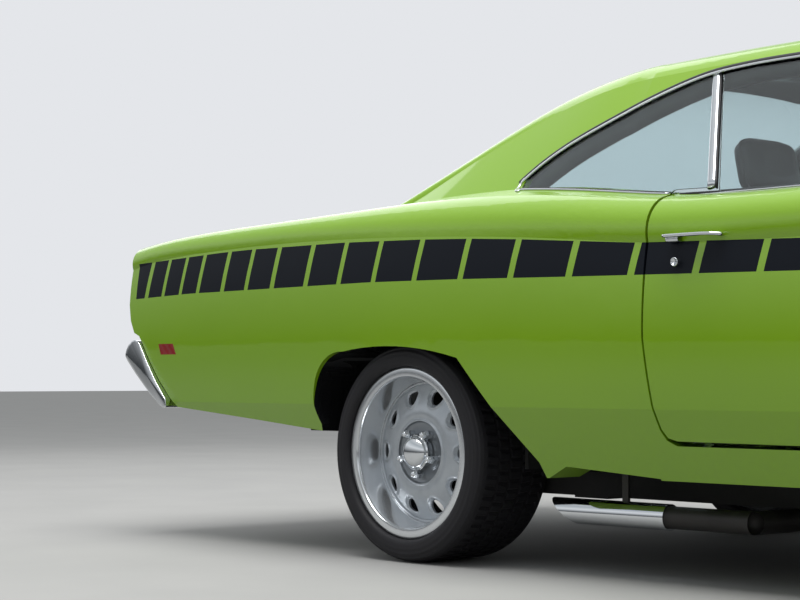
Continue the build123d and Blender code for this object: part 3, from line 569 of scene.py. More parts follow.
def stripe_mask(tree, x, z, slant):
    """1 on the blocks of the side stripe: between two drawn edges, less a leaning gap at each listed place.
    Half a gap is 0.094 of a block's pitch at the rear and 0.0035 less at each next gap, down to 0.055."""
    low, top = (drawn_curve(tree, x, edge, STRIPE_SPAN, STRIPE_HEIGHTS) for edge in (STRIPE_LOW, STRIPE_TOP))
    along = math_of(tree, "ADD", x, math_of(tree, "MULTIPLY_ADD", z, -slant, STRIPE_MIDDLE * slant))
    steps = [(place, i) for i, place in enumerate(STRIPE_GAPS)]
    phase = drawn_curve(tree, along, steps, (STRIPE_GAPS[0], STRIPE_GAPS[-1]), (0.0, len(STRIPE_GAPS) - 1))
    fold = math_of(tree, "FRACT", math_of(tree, "ADD", phase, 0.5))
    away = math_of(tree, "ABSOLUTE", math_of(tree, "SUBTRACT", fold, 0.5))
    gap = math_of(tree, "MAXIMUM", math_of(tree, "MULTIPLY_ADD", phase, -0.0035, 0.094), 0.055)
    return product(tree, math_of(tree, "GREATER_THAN", away, gap), math_of(tree, "GREATER_THAN", z, low),
                   math_of(tree, "LESS_THAN", z, top), math_of(tree, "LESS_THAN", along, STRIPE_GAPS[-1]),
                   math_of(tree, "GREATER_THAN", x, STRIPE_REAR))


def lime_enamel(name, settings):
    """Two-stage enamel: pigment under a clear lacquer, sprayed. The lacquer gives the eye sharp highlights
    over a soft body colour with a slight orange peel, and the stripe is satin vinyl film. Inner faces are
    black."""
    material, tree, shader, place = new_material(name, Coat_Weight=1.0, Coat_Roughness=0.04, Coat_IOR=1.5,
                                                 IOR=1.45, Specular_IOR_Level=0.15)
    x, y, z = parts_of(tree, place.outputs["Object"])
    colour = blend(tree, noise(tree, place, 1.3), (*settings.lime_deep, 1.0), (*settings.lime, 1.0))
    if name == "lime_enamel_striped":
        film = stripe_mask(tree, x, z, settings.slant)
        feed(tree, shader, "Coat Weight", math_of(tree, "SUBTRACT", 1.0, film))
        colour = blend(tree, film, colour, (*settings.stripe, 1.0))
    # Darker towards the bottom: below 0.5 m the colour is blended, in small spots, up to 16 % toward dark
    # grey-olive
    low_part = put(tree, "ShaderNodeMapRange", {"Value": z, "From Min": 0.24, "From Max": 0.50,
                                                "To Min": 0.16, "To Max": 0.0})
    dust = math_of(tree, "MULTIPLY", low_part, noise(tree, place, 60.0, 4.0))
    colour = blend(tree, dust, colour, rgb("4A4A38"))
    inner = hidden_mask(tree, place, x, y, z)
    feed(tree, shader, "Base Color", blend(tree, inner, colour, rgb("0E0F11")))
    feed(tree, shader, "Roughness", math_of(tree, "MULTIPLY_ADD", inner, 0.35, 0.38))
    emboss(tree, shader, noise(tree, place, 350.0, 1.0), 0.02, 0.0004, "Coat Normal")
    return material


def wheel_metal(name):
    """Polished barrel round a silver painted steel centre, told apart by the radius from the axle.
    The barrel mirrors in soft bands, and the centre is a flatter pewter; painted shade darkens the deep hub
    within 86 mm of the axle."""
    material, tree, shader, place = new_material(name)
    x, _, z = parts_of(tree, place.outputs["Object"])
    radius = axle_distance(tree, x, z)
    centre = math_of(tree, "LESS_THAN", radius, 0.189)
    silver = blend(tree, noise(tree, place, 45.0, 4.0), rgb("A3A9AF"), rgb("B9BEC3"))
    colour = blend(tree, centre, rgb("D6D9DC"), silver)
    # Painted shade: the deep hub within 86 mm of the axle is blended 55 % toward dark grey
    hub = math_of(tree, "MULTIPLY", math_of(tree, "LESS_THAN", radius, 0.086), 0.55)
    feed(tree, shader, "Base Color", blend(tree, hub, colour, rgb("4E5257")))
    feed(tree, shader, "Roughness", math_of(tree, "MULTIPLY_ADD", centre, 0.16, 0.16))
    feed(tree, shader, "Metallic", math_of(tree, "MULTIPLY_ADD", centre, -0.25, 0.8))
    emboss(tree, shader, noise(tree, place, 220.0), 0.05, 0.0005)
    return material


def ribbed_lens(name, colour, front_colour):
    """Moulded acrylic lens with upright ribs 8 mm apart that break a highlight into bars; the second colour
    is for the lenses of the front end."""
    material, tree, shader, place = new_material(name, Roughness=0.12, Coat_Weight=0.5, Coat_Roughness=0.03,
                                                 IOR=1.49)
    ribs = put(tree, "ShaderNodeTexWave", {"Vector": place.outputs["Object"], "Scale": 19.6},
               wave_type="BANDS", bands_direction="DIAGONAL")
    emboss(tree, shader, ribs, 0.25, 0.001)
    ahead = math_of(tree, "GREATER_THAN", parts_of(tree, place.outputs["Object"])[0], 0.0)
    base = blend(tree, ahead, rgb(colour), rgb(front_colour))
    deep = blend(tree, noise(tree, place, 30.0), base, rgb("2A0404"))
    feed(tree, shader, "Base Color", blend(tree, 0.25, base, deep))
    return material


def tinted_glass(name, colour):
    """Float glass with a faint green tint: clear straight on, a mirror at a low angle, thin dust on it."""
    material, tree, shader, place = new_material(name, Base_Color=rgb(colour), IOR=1.5,
                                                 Transmission_Weight=1.0)
    feed(tree, shader, "Roughness", put(tree, "ShaderNodeMapRange", {
        "Value": noise(tree, place, 9.0, 5.0), "From Min": 0.45, "From Max": 0.8, "To Max": 0.06}))
    return material


def plain_finish(name, colours, scale, bump_scale, bump, rough, metallic=0.0, specular=0.5):
    """A finish with cloudy colour, uneven roughness and fine relief."""
    material, tree, shader, place = new_material(name, Metallic=metallic, Specular_IOR_Level=specular)
    grain(tree, shader, place, colours, scale, bump_scale, bump, rough)
    return material


def material_named(name):
    """A finish by name, made the first time it is asked for."""
    found = bpy.data.materials.get(name)
    if found:
        return found
    if name in ("lime_enamel", "lime_enamel_striped"):
        return lime_enamel(name, bpy.context.scene.car_paint)
    if name == "wheel_silver":
        return wheel_metal(name)
    if name in LENSES:
        return ribbed_lens(name, *LENSES[name])
    if name in GLASSES:
        return tinted_glass(name, GLASSES[name])
    return plain_finish(name, *PLAIN_FINISHES[name])


class CAR_OT_finishes(bpy.types.Operator):
    """Give every CAD node that keeps its shape its finish"""
    bl_idname = "car.finishes"
    bl_label = "Paint and finishes"

    def execute(self, context):
        for finish, nodes in FINISHES.items():
            for name in nodes:
                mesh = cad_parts[name].data
                mesh.materials.clear()
                mesh.materials.append(material_named(finish))
        return {"FINISHED"}


def tyre_surface(axle, side, outside, inside, settings):
    """A tyre as a closed profile turned round the axle. The side walls bulge past the lip plane. The tread
    has grooves all round, and slots between the blocks that lower two of every six steps of a rib, each
    rib's slots moved along and slanted."""
    middle = (outside + inside) / 2
    half = (outside - inside) / 2 - 0.038
    centres = np.array([-0.62, -0.22, 0.22, 0.62]) * half
    lip = 0.0012
    reach = settings.groove_width / 2
    # Rows across the tread: (place, 1 in a groove, rib number or -1)
    rows = [(half, 0, 0), (half - 0.008, 0, 0)]
    for i, c in enumerate(centres[::-1]):
        rows += [(c + reach + lip, 0, i), (c + reach, 1, -1), (c - reach, 1, -1), (c - reach - lip, 0, i + 1)]
    rows += [(-half + 0.008, 0, 4), (-half, 0, 4)]
    across, deep, rib = np.array(rows, float).T
    rib = rib.astype(int)
    crown = 0.2998 - 0.0008 * (across / half) ** 2
    steps = 6 * settings.blocks
    step = np.arange(steps)[:, None]
    shift = np.array([0, 3, 1, 4, 0])
    slot = (rib >= 0) & ((step + shift[rib]) % 6 >= 4)
    tread_r = crown - settings.groove * np.maximum(deep, 0.8 * slot)
    wall_r, wall_y = np.array(TYRE_WALL).T
    wall_y = outside - middle + wall_y
    radius = np.concatenate([np.tile(wall_r, (steps, 1)), tread_r, np.tile(wall_r[::-1], (steps, 1))], 1)
    depth = np.concatenate([wall_y, across, -wall_y[::-1]])
    lean = np.concatenate([0 * wall_r, 0.035 * np.abs(across / half), 0 * wall_r])
    turn = step * 2 * np.pi / steps + lean
    points = np.stack([axle + radius * np.cos(turn), np.broadcast_to(side * (middle + depth), radius.shape),
                       TYRE_R + radius * np.sin(turn)], -1)
    return points, grid_faces(steps, radius.shape[1], loop_rows=True, loop_columns=True)


class CAR_OT_tyres(bpy.types.Operator):
    """Make the four treaded tyres"""
    bl_idname = "car.tyres"
    bl_label = "Tyres"

    def execute(self, context):
        for name, (axle, side, _, outside, inside) in WHEELS.items():
            shape = tyre_surface(axle, side, outside, inside, context.scene.car_wheels)
            tyre = make(f"treaded_tyre_{name}", shape, f"wheel_{name}", "tread_rubber",
                        [f"tyre_{name}"])
            centre = np.zeros(len(tyre.data.polygons) * 3)
            tyre.data.polygons.foreach_get("center", centre)
            x, _, z = centre.reshape(-1, 3).T
            tyre.data.polygons.foreach_set("use_smooth", np.hypot(x - axle, z - TYRE_R) < 0.290)
        return {"FINISHED"}


def slotted_disc():
    """A pressed disc of ten sectors with a slot each, as (radius, angle, depth) grids and their faces. In a
    sector a grid runs from the slot's outline to the sector's edge. The outline is an ellipse with its outer
    side cut flat. The crown is a quartic of the radius. A raised lip, a bell curve of the distance from the
    slot, stands round the slot's hub side. The back sheet follows the crown a sheet's thickness deeper and
    closes the slot's wall."""
    half = np.pi / SLOTS
    arc_steps, side_steps, rows = 14, 12, 14
    arc = np.linspace(-half, half, arc_steps + 1)
    reach = np.linspace(DISC_IN, DISC_OUT, side_steps + 1)
    edge_r = np.concatenate([np.full(arc_steps, DISC_OUT), reach[:0:-1], np.full(arc_steps, DISC_IN),
                             reach[:-1]])
    edge_t = np.concatenate([arc[:-1], np.full(side_steps, half), arc[:0:-1], np.full(side_steps, -half)])
    wide, high = edge_t * SLOT_AT, edge_r - SLOT_AT
    turn = np.arctan2(high, wide)
    ellipse = 1 / np.sqrt((np.cos(turn) / 0.0205) ** 2 + (np.sin(turn) / 0.0215) ** 2)
    flat = 0.0150 / np.maximum(np.sin(turn), 1e-3)
    outline = (ellipse ** -6 + flat ** -6) ** (-1 / 6)
    slot_wide, slot_high = outline * np.cos(turn), outline * np.sin(turn)
    crown = np.poly1d(np.polyfit(*np.array(CROWN).T, 4))

    def sheet(share):
        share = share[:, None]
        at_wide = slot_wide + share * (wide - slot_wide)
        at_high = slot_high + share * (high - slot_high)
        away = np.hypot(at_wide - slot_wide, at_high - slot_high)
        return SLOT_AT + at_high, at_wide / SLOT_AT, away, share

    radius, angle, away, share = sheet(np.linspace(1, 0, rows) ** 1.35)
    lip = 0.0052 * np.exp(-((away - 0.0068) / 0.0032) ** 2) * np.clip(0.85 - 0.9 * np.sin(turn), 0, 1)
    dip = 0.0035 * np.exp(-(away / 0.003) ** 2)
    front = np.stack([radius, angle, crown(radius) + (lip - dip) * (1 - share ** 6)], -1)
    radius, angle, _, share = sheet(np.linspace(0, 1, 5))
    back = np.stack([radius, angle, crown(radius) - DISC_SHEET - 0.004 * (1 - share) ** 4], -1)
    sector = np.concatenate([front, back])
    grids = sector + np.array([(0.0, 2 * half * i, 0.0) for i in range(SLOTS)])[:, None, None]
    rows, columns = sector.shape[:2]
    faces = [grid_faces(rows, columns, loop_columns=True, start=i * rows * columns) for i in range(SLOTS)]
    return grids, np.concatenate(faces), crown


class CAR_OT_wheels(bpy.types.Operator):
    """Make the four deep dish wheels with their slotted discs"""
    bl_idname = "car.wheels"
    bl_label = "Wheels"

    def execute(self, context):
        grids, faces, crown = slotted_disc()
        outer, inner = float(crown(DISC_OUT)), float(crown(DISC_IN))
        radius, angle, depth = np.moveaxis(grids, -1, 0)
        for name, (axle, side, lip, outside, inside) in WHEELS.items():
            width = 2 * lip - outside - inside
            rim = [(DISC_OUT, outer), (0.1870, -0.0765), (0.1885, -0.0752), (0.1902, -0.0760),
                   (0.1912, -0.0790), (0.1925, -0.0795), (0.2062, -0.0120), (0.2078, -0.0040),
                   (0.2105, -0.0004), (0.2140, 0.0), (0.2285, 0.0), (0.2325, -0.0010), (0.2352, -0.0040),
                   (0.2356, -0.0060), (0.2356, -0.0130), (0.2170, -0.0170), (0.2150, -0.0500),
                   (0.1990, -0.0660), (0.1990, 0.070 - width), (0.2150, 0.052 - width),
                   (0.2170, 0.017 - width), (0.2356, 0.013 - width), (0.2356, 0.005 - width),
                   (0.2290, -width), (0.2090, 0.014 - width), (0.2070, 0.048 - width),
                   (0.1935, 0.064 - width), (0.1935, -0.0900), (DISC_OUT, outer - DISC_SHEET)]
            hub = [(DISC_IN, inner), (0.0945, inner - 0.0005), (0.0920, inner + 0.0005),
                   (0.0905, inner + 0.0030), (0.0885, inner + 0.0038), (0.0865, inner + 0.0028),
                   (0.0852, inner - 0.0020), (0.0835, inner - 0.0050), (0.0800, -0.0585), (0.0, -0.0585)]
            bore = [(DISC_IN, inner - DISC_SHEET), (0.090, -0.0640), (0.070, -0.0690), (0.070, -0.1300),
                    (0.0224, -0.1300), (0.0224, -0.0660), (0.0, -0.0660)]
            centre, axis = (axle, side * lip, TYRE_R), (0.0, float(side), 0.0)
            disc = np.stack([axle + radius * np.cos(angle), side * (lip + depth),
                             TYRE_R + radius * np.sin(angle)], -1)
            parts = [(disc, faces)]
            parts += [lathe(profile, centre, axis, 14 * SLOTS) for profile in (rim, hub, bore)]
            make(f"dish_wheel_{name}", join_parts(parts), f"wheel_{name}", "wheel_silver",
                 [f"rim_{name}"], crease=38)
        return {"FINISHED"}


class CAR_OT_wheel_centres(bpy.types.Operator):
    """Make the domed caps and the acorn nuts of the wheels"""
    bl_idname = "car.wheel_centres"
    bl_label = "Wheel centres"

    def execute(self, context):
        cap_r = context.scene.car_wheels.cap
        t = np.linspace(0, np.pi / 2, 14)
        dome = [(cap_r, -0.056), (cap_r, -0.040), (cap_r + 0.003, -0.038), (cap_r + 0.003, -0.034)]
        dome += [((cap_r - 0.001) * c, -0.034 + 0.026 * s) for c, s in zip(np.cos(t), np.sin(t))]
        for name, (axle, side, lip, _, _) in WHEELS.items():
            wheel, axis = f"wheel_{name}", (0.0, float(side), 0.0)
            make(f"centre_cap_{name}", lathe(dome, (axle, side * lip, TYRE_R), axis), wheel, "chrome_plate")
            nuts = []
            for turn in np.radians(18 + 72 * np.arange(5)):
                spot = (axle + NUT_CIRCLE * math.cos(turn), side * lip, TYRE_R - NUT_CIRCLE * math.sin(turn))
                nuts.append(lathe(NUT, spot, axis, 36, (6, 1.0)))
            make(f"wheel_nuts_{name}", join_parts(nuts), wheel, "chrome_plate")
        return {"FINISHED"}


def side_window_path(side, target):
    """The window's edge on the roof's skin, a margin outside the opening, by rays across the car."""
    line = soften(spread(WINDOW, 0.012), 3)
    hits, normals = land_across(target, line + TRIM_MARGIN * left_of(line), side)
    return soften(hits, 3), soften(normals, 6)


def screen_path(outline, target):
    """A fixed screen's edge on the roof's skin, a margin outside the opening, by rays from above."""
    half = soften(spread(outline, 0.02), 3)
    line = np.concatenate([(half * (1, -1))[::-1], half[1:]])
    away = left_of(line)
    away = away * np.sign(((line - line.mean(0)) * away).sum(1, keepdims=True))
    hits, normals = land_down(target, line + TRIM_MARGIN * away, 2.0)
    return soften(hits, 3), soften(normals, 6)


class CAR_OT_window_trim(bpy.types.Operator):
    """Carry rubber and bright strips round the side windows, and mouldings round the fixed screens"""
    bl_idname = "car.window_trim"
    bl_label = "Window trim"

    def execute(self, context):
        settings = context.scene.car_trim
        target = skin_of(["roof"])
        for word, side in SIDES.items():
            path, outward = side_window_path(side, target)
            strip = oval(settings.chrome, 0.006, lift=0.0015) + (-0.004 * side, 0)
            seal = oval(settings.rubber, 0.005, lift=0.001) + (0.0048 * side, 0)
            tip = soften(spread(TIP, 0.004), 2)
            hook, lean = land_across(skin_of(["roof", f"quarter_{word}"]), tip, side)
            strips = [carry(path, outward, strip), carry(soften(hook, 2), soften(lean, 5), strip)]
            make(f"window_bright_strip_{word}", join_parts(strips), "body", "chrome_plate")
            make(f"window_rubber_{word}", carry(path, outward, seal), "body", "rubber_seal")
        for word, outline in SCREENS.items():
            moulding = carry(*screen_path(outline, target), oval(settings.screen, 0.007, 16, lift=0.0015))
            make(f"{word}_moulding", moulding, "body", "chrome_plate")
        return {"FINISHED"}


def glass_skin(word, side):
    """The side glass surface y = a(x) + b(x) z, with a and b fitted to rays at many places along the car."""
    target = skin_of(["quarter_glass", f"door_glass_{word}"])
    places, lines = [], []
    for x in np.linspace(-0.870, 0.690, 105):
        hits, _ = land_across(target, [(x, z) for z in np.linspace(0.955, 1.265, 22)], side)
        if len(hits) > 3:
            places.append(x)
            lines.append(np.polyfit(hits[:, 2], np.abs(hits[:, 1]), 1))
    slope, base = np.array(lines).T
    return lambda x, z: side * (np.interp(x, places, base) + np.interp(x, places, slope) * z)


def pane(edges, skin, side):
    """A curved pane: the blend of its lower and upper line in side view, laid on the glass surface."""
    share = np.linspace(0, 1, 16)[None, :, None]
    lower, upper = (spread(edge, count=80)[:, None] for edge in edges)
    x, z = np.moveaxis((1 - share) * lower + share * upper, -1, 0)
    front = np.stack([x, skin(x, z), z], -1)
    return slab(front, front - (0.0, side * PANE_THICK, 0.0))


def glass_strip(line, skin, sink, section):
    """A strip along a line in side view, sunk into the glass surface and square to it."""
    x, z = spread(line, 0.02).T
    y = skin(x, z)
    lean = (skin(x, z + 0.01) - y) / 0.01
    sweep = (skin(x + 0.01, z) - y) / 0.01
    outward = unit(np.stack([-sweep, np.ones(len(x)), -lean], -1) * np.sign(y)[:, None])
    return carry(np.stack([x, y, z], -1) - sink * outward, outward, section)


class CAR_OT_side_glass(bpy.types.Operator):
    """Make the side panes, the leaning bright strip between them, the belt strips and the roof's lining"""
    bl_idname = "car.side_glass"
    bl_label = "Side glass"

    def execute(self, context):
        roof = skin_of(["roof"])
        for word, side in SIDES.items():
            skin, door = glass_skin(word, side), f"door_{word}"
            make(f"quarter_pane_{word}", pane(QUARTER_PANE, skin, side), "body", "float_glass",
                 ["quarter_glass"], crease=40)
            make(f"door_pane_{word}", pane(DOOR_PANE, skin, side), door, "float_glass",
                 [f"door_glass_{word}"], crease=40)
            make(f"divider_strip_{word}", glass_strip(DIVIDER, skin, 0.003, oval(0.0225, 0.012, 16)), "body",
                 "chrome_plate", ["window_dividers"])
            make(f"divider_seal_{word}", glass_strip(DIVIDER_SEAL, skin, 0.004, oval(0.0050, 0.010)), "body",
                 "rubber_seal")
            for place, body, start, end in (("door", door, -0.331, 0.715),
                                            ("quarter", "body", -0.872, -0.345)):
                x = np.linspace(start, end, 60)
                y = skin(x, 0.96 + 0.05 * np.clip(-x - 0.335, 0, 1))
                panel = skin_of([f"{place}_{word}"])
                for part, (out, shift, lift, width, height, finish, slot) in BELT_PARTS.items():
                    hits, _ = land_down(panel, np.column_stack([x, y + side * out]))
                    belt = carry(soften(hits, 4) + (0.0, side * shift, lift), UP, oval(width, height))
                    make(f"{place}_belt_{part}_{word}", belt, body, finish)
            path, outward = side_window_path(side, roof)
            rail = path[:, 0] < 0.20
            lining = carry(path[rail], outward[rail], np.array(LINING) * (-side, 1))
            make(f"roof_lining_{word}", lining, "body", "grained_vinyl")
        return {"FINISHED"}


def bumper_surface():
    """The rear bumper: its side section carried across the car. Past 0.88 m from the middle its thickness
    over the body's tail falls by a third along a quarter of an ellipse, so the crease sweeps round the
    corner."""
    section = spread(BUMPER + BUMPER[:1], 0.005)[:-1]
    x, z = (0.5 * section + 0.25 * (np.roll(section, 1, 0) + np.roll(section, -1, 0))).T
    tail_x, tail_z = np.array(BUMPER[:6]).T
    bend = 0.953 - 0.073 * (1 - np.sin(np.linspace(0, np.pi / 2, 14)))
    across = np.concatenate([-bend[::-1], np.linspace(-0.86, 0.86, 30), bend])[:, None]
    thick = 0.66 + 0.34 * np.sqrt(1 - np.clip((np.abs(across) - 0.88) / 0.073, 0, 1) ** 2)
    inner = np.interp(z, tail_z, tail_x)
    x = inner + (x - inner) * thick
    points = np.stack([x, np.broadcast_to(across, x.shape), np.broadcast_to(z, x.shape)], -1)
    middle = points[[0, -1]].mean(1, keepdims=True)
    points[[0, -1]] = middle + 0.965 * (points[[0, -1]] - middle)
    return loft(points)


class CAR_OT_rear_bumper(bpy.types.Operator):
    """Make the rear bumper with its crease and the bolts of its number plate"""
    bl_idname = "car.rear_bumper"
    bl_label = "Rear bumper"

    def execute(self, context):
        make("creased_rear_bumper", bumper_surface(), "body", "chrome_plate", ["rear_bumper"])
        bolts = [lathe(PLATE_BOLT, (-2.5715, side * PLATE_BOLT_Y, 0.578), BACK, 36, (6, 1.0))
                 for side in SIDES.values()]
        make("rear_plate_bolts", join_parts(bolts), "body", "chrome_plate")
        return {"FINISHED"}


class CAR_OT_door_furniture(bpy.types.Operator):
    """Make the pull handles, lock cylinders and mirrors of the doors"""
    bl_idname = "car.door_furniture"
    bl_label = "Handles, locks and mirrors"

    def execute(self, context):
        for word, side in SIDES.items():
            door = f"door_{word}"
            blade, foot, stem = (
                carry(soften(spread(path, step), 2) * (1, side, 1), outward, section)
                for path, step, outward, section in (
                    (HANDLE_BLADE, 0.006, UP, oval(0.024, 0.009, 16)),
                    (HANDLE_FOOT, 0.003, AHEAD, oval(0.005, 0.038, 16)),
                    (MIRROR_STEM, 0.006, AHEAD, oval(0.024, 0.014, 14))))
            make(f"pull_handle_{word}", join_parts([blade, foot]), door, "chrome_plate",
                 [f"door_trim_{word}"])
            lock = lathe(LOCK, (-0.239, side * 0.931, 0.778), (0.0, float(side), 0.0), 40)
            make(f"lock_cylinder_{word}", lock, door, "chrome_plate")
            shell = pillow((0.717, side * 0.930, 1.0025), (0, 1, 0), (0, 0, 1), (1, 0, 0),
                           (0.054, 0.036, 0.017), 0.25, 0.5)
            make(f"mirror_housing_{word}", join_parts([stem, shell]), door, "chrome_plate")
            glass = pillow((0.7035, side * 0.930, 1.0025), (0, 1, 0), (0, 0, 1), (-1, 0, 0),
                           (0.047, 0.030, 0.003), 0.0, 0.5)
            make(f"mirror_glass_{word}", glass, door, "lamp_mirror")
        return {"FINISHED"}


def pillow_plan(s, t, half_a, half_b, corner):
    """The plan of a pillow: s and t from -1 to 1 with the corners drawn in and the sides slightly hollow."""
    return (half_a * s * np.sqrt(1 - 0.28 * corner * t ** 4) * (1 - 0.025 * (1 - t ** 2)),
            half_b * t * np.sqrt(1 - 0.28 * corner * s ** 4) * (1 - 0.025 * (1 - s ** 2)))


def pillow(centre, along, across, up, halves, crown, corner, channel=None, grid=48):
    """A crowned closed form between two sheets over a square of s and t. The height falls to nothing at the
    edge as the 0.42 power of (1 - s^8)(1 - t^8), the crown adds (1 - s^2)(1 - t^2), and a channel of (pitch,
    depth) cuts a sewn groove across at each pitch and one along each side."""
    half_a, half_b, half_c = halves
    edge = np.sin(np.linspace(-np.pi / 2, np.pi / 2, grid))
    s, t = np.meshgrid(edge, edge, indexing="ij")
    a, b = pillow_plan(s, t, half_a, half_b, corner)
    body = ((1 - s ** 8) * (1 - t ** 8)) ** 0.42
    top = half_c * body * (1 - crown + crown * (1 - s ** 2) * (1 - t ** 2) * 2 ** 0.5)
    top = np.minimum(top, half_c)
    if channel:
        pitch, depth = channel
        off = np.abs((a / pitch + 0.5) % 1 - 0.5) * pitch
        inside = np.clip((0.74 - np.abs(t)) / 0.04, 0, 1) * np.clip((0.86 - np.abs(s)) / 0.04, 0, 1)
        cut = np.exp(-(off / 0.006) ** 2) * inside
        border = np.exp(-((np.abs(b) - 0.76 * half_b) / 0.005) ** 2) * np.clip((0.9 - np.abs(s)) / 0.05, 0, 1)
        top = top - depth * np.maximum(cut, border)
    along, across, up = unit((along, across, up))
    sheets = [np.asarray(centre, float) + a[..., None] * along + b[..., None] * across + c[..., None] * up
              for c in (top, -half_c * body)]
    return np.stack(sheets), np.concatenate([grid_faces(grid, grid), grid_faces(grid, grid, start=grid ** 2)])


def piping(centre, along, across, halves, radius, corner):
    """A thin round cord along the edge of a pillow."""
    t = np.linspace(-1, 1, 40)[:-1]
    one = np.ones(len(t))
    a, b = pillow_plan(np.concatenate([one, -t, -one, t]), np.concatenate([t, one, -t, -one]), *halves[:2],
                       corner)
    along, across = unit((along, across))
    path = np.asarray(centre, float) + a[:, None] * along + b[:, None] * across
    return carry(path, np.cross(along, across), oval(2 * radius, 2 * radius, 10), closed=True)


def cushion(name, centre, along, up, halves, corner, grid, node, settings):
    """A padded piece of a seat with its piping. A headrest has no sewn channels."""
    channel = None if "headrest" in name else (settings.channel, GROOVE_DEPTH)
    form = pillow(centre, along, (0, 1, 0), up, halves, settings.crown, corner, channel, grid)
    cord = piping(centre, along, (0, 1, 0), halves, settings.piping, corner)
    piece = make(name, join_parts([form, cord]), "body", "grained_vinyl", [node])


class CAR_OT_seats(bpy.types.Operator):
    """Make the bucket seats, the rear bench, the parcel shelf and the deck panel behind it"""
    bl_idname = "car.seats"
    bl_label = "Seats"

    def execute(self, context):
        settings = context.scene.car_seats
        for word, side in SIDES.items():
            for part, x, z, along, up, halves in (
                    ("seat_cushion", 0.006, 0.398, (1, 0, 0.09), (-0.09, 0, 1), (0.250, 0.234, 0.062)),
                    ("seat_back", -0.315, 0.690, (-0.27, 0, 1), (1, 0, 0.27), (0.268, 0.226, 0.046)),
                    ("headrest", -0.388, 1.054, (-0.2, 0, 1), (1, 0, 0.2), (0.072, 0.116, 0.034))):
                cushion(f"{part}_{word}", (x, side * SEAT_Y, z), along, up, halves, 1.0, 72, "front_seats",
                        settings)
        for word, side in SIDES.items():
            y = side * SEAT_Y
            parts = [pillow((0.0, y, 0.313), (1, 0, 0), (0, 1, 0), (0, 0, 1), (0.200, 0.185, 0.037), 0.0,
                            0.2)]
            for post in (y - 0.05, y + 0.05):
                path = [(-0.362, post, 0.930), (-0.365, post, 0.965), (-0.378, post, 1.000)]
                parts.append(carry(path, AHEAD, oval(0.010, 0.010)))
            make(f"seat_plinth_{word}", join_parts(parts), "body", "moulded_black",
                 ["front_seats"])
        for part, x, z, along, up, halves in (
                ("bench_cushion", -0.690, 0.385, (1, 0, 0.08), (-0.08, 0, 1), (0.196, 0.552, 0.046)),
                ("bench_back", -0.958, 0.640, (-0.14, 0, 1), (1, 0, 0.14), (0.215, 0.552, 0.042))):
            cushion(part, (x, 0, z), along, up, halves, 0.6, 96, "rear_seat", settings)
        target = skin_of(["rear_seat"])
        for name, (rear, ahead, finish, slot) in REAR_DECK.items():
            plan = np.meshgrid(np.linspace(rear, ahead, 16), np.linspace(-0.755, 0.755, 40), indexing="ij")
            top, _ = land_down(target, np.stack(plan, -1).reshape(-1, 2))
            top = top.reshape(16, 40, 3)
            make(name, slab(top, top - (0.0, 0.0, 0.012)), "body", finish, ["rear_seat"], crease=40)
        return {"FINISHED"}


class CAR_OT_lamps(bpy.types.Operator):
    """Make the head lamps with their bezels, and the bright frames of the tail lamps"""
    bl_idname = "car.lamps"
    bl_label = "Lamps"

    def execute(self, context):
        t = np.linspace(0, np.pi / 2, 12)
        lens = [(0.068, 2.4905)] + [(0.068 * c, 2.496 + 0.021 * s) for c, s in zip(np.cos(t), np.sin(t))]
        for part, profile, finish, slot, nodes in (
                ("lenses", lens, "pressed_glass", "lamp_glass", ["headlamps"]),
                ("bowls", BOWL, "lamp_mirror", "chrome", []),
                ("bezels", BEZEL, "chrome_plate", "chrome", [])):
            lamps = [lathe(profile, (0.0, side * y, LAMP_Z), AHEAD)
                     for side in SIDES.values() for y in LAMPS_Y]
            make(f"head_lamp_{part}", join_parts(lamps), "body", finish, nodes)
        frames = []
        for side in SIDES.values():
            loop = spread(np.array(TAIL_LAMP + TAIL_LAMP[:1]) * (1, side, 1), 0.006)[:-1]
            frames.append(carry(loop, BACK, oval(0.007, 0.005, 10), closed=True))
        make("tail_lamp_frames", join_parts(frames), "body", "chrome_plate")
        return {"FINISHED"}


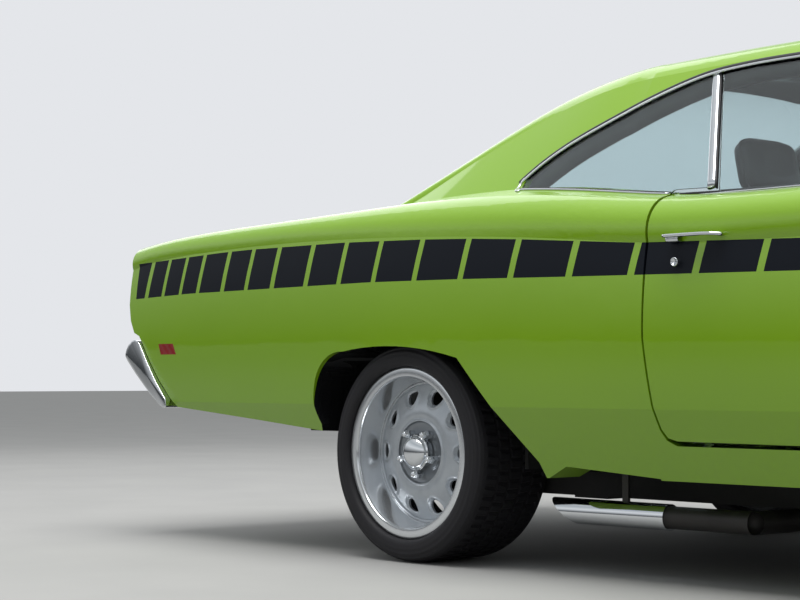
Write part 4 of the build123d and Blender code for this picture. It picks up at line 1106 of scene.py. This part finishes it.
class CAR_OT_stage(bpy.types.Operator):
    """Lay the pale floor, light the car softly and set the camera at the photograph's angle"""
    bl_idname = "car.stage"
    bl_label = "Stage"

    def execute(self, context):
        material, tree, shader, place = new_material("pale_floor", Roughness=0.9)
        grain(tree, shader, place, ("8F8F8D", "9B9A98"), 2.0, 90.0, 0.1)
        corners = [(x * FLOOR_HALF, y * FLOOR_HALF, 0) for x, y in ((-1, -1), (1, -1), (1, 1), (-1, 1))]
        floor = mesh_object("floor", corners, [(0, 1, 2, 3)], False)
        floor.data.materials.append(material)
        world = bpy.data.worlds.new("sky")
        context.scene.world = world
        world.use_nodes = True
        tree = world.node_tree
        height = parts_of(tree, put(tree, "ShaderNodeTexCoord").outputs["Generated"])[2]
        ramp = put(tree, "ShaderNodeValToRGB", {"Fac": height})
        stops = ramp.color_ramp.elements
        for at, _ in SKY[1:-1]:
            stops.new(at)
        for stop, (_, colour) in zip(stops, SKY):
            stop.color = rgb(colour)
        path = put(tree, "ShaderNodeLightPath")
        seen = math_of(tree, "MAXIMUM", path.outputs["Is Camera Ray"], path.outputs["Is Transmission Ray"])
        feed(tree, tree.nodes["Background"], "Color", blend(tree, seen, ramp, rgb(BACKDROP)))
        for name, (energy, size, spot, aim) in LIGHTS.items():
            light = bpy.data.lights.new(name, "AREA")
            light.energy = energy
            light.size = size
            lamp = bpy.data.objects.new(name, light)
            lamp.location = spot
            lamp.rotation_euler = (Vector(aim) - lamp.location).to_track_quat("-Z", "Y").to_euler()
            context.scene.collection.objects.link(lamp)
        view = bpy.data.cameras.new("camera")
        view.lens = LENS
        view.sensor_width = 36.0
        camera = bpy.data.objects.new("camera", view)
        camera.location = CAMERA_AT
        camera.rotation_euler = CAMERA_TURN
        context.scene.collection.objects.link(camera)
        context.scene.camera = camera
        context.scene.view_settings.view_transform = "Standard"
        return {"FINISHED"}


STEPS = (CAR_OT_finishes, CAR_OT_tyres, CAR_OT_wheels, CAR_OT_wheel_centres, CAR_OT_window_trim,
         CAR_OT_side_glass, CAR_OT_door_furniture, CAR_OT_rear_bumper, CAR_OT_lamps, CAR_OT_seats,
         CAR_OT_stage)
GROUPS = {"car_paint": CarPaintSettings, "car_wheels": CarWheelSettings, "car_trim": CarTrimSettings,
          "car_seats": CarSeatSettings}


class CAR_PT_dressing(bpy.types.Panel):
    """The car's dressing in the sidebar"""
    bl_idname = "CAR_PT_dressing"
    bl_label = "Muscle Car"
    bl_space_type = "VIEW_3D"
    bl_region_type = "UI"
    bl_category = "Muscle Car"

    def draw(self, context):
        for group, kind in GROUPS.items():
            for name in kind.__annotations__:
                self.layout.prop(getattr(context.scene, group), name)
        for step in STEPS:
            self.layout.operator(step.bl_idname)


def register():
    """Register the settings, the operators and the panel."""
    for kind in (*GROUPS.values(), *STEPS, CAR_PT_dressing):
        bpy.utils.register_class(kind)
    for name, kind in GROUPS.items():
        setattr(bpy.types.Scene, name, PointerProperty(type=kind))


def unregister():
    """Undo register."""
    for name in GROUPS:
        delattr(bpy.types.Scene, name)
    for kind in reversed((*GROUPS.values(), *STEPS, CAR_PT_dressing)):
        bpy.utils.unregister_class(kind)


def main():
    """Register the add-on and dress the car."""
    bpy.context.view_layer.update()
    register()
    bpy.ops.car.finishes()
    bpy.ops.car.tyres()
    bpy.ops.car.wheels()
    bpy.ops.car.wheel_centres()
    bpy.ops.car.window_trim()
    bpy.ops.car.side_glass()
    bpy.ops.car.door_furniture()
    bpy.ops.car.rear_bumper()
    bpy.ops.car.lamps()
    bpy.ops.car.seats()
    bpy.ops.car.stage()


if __name__ == "__main__":
    main()
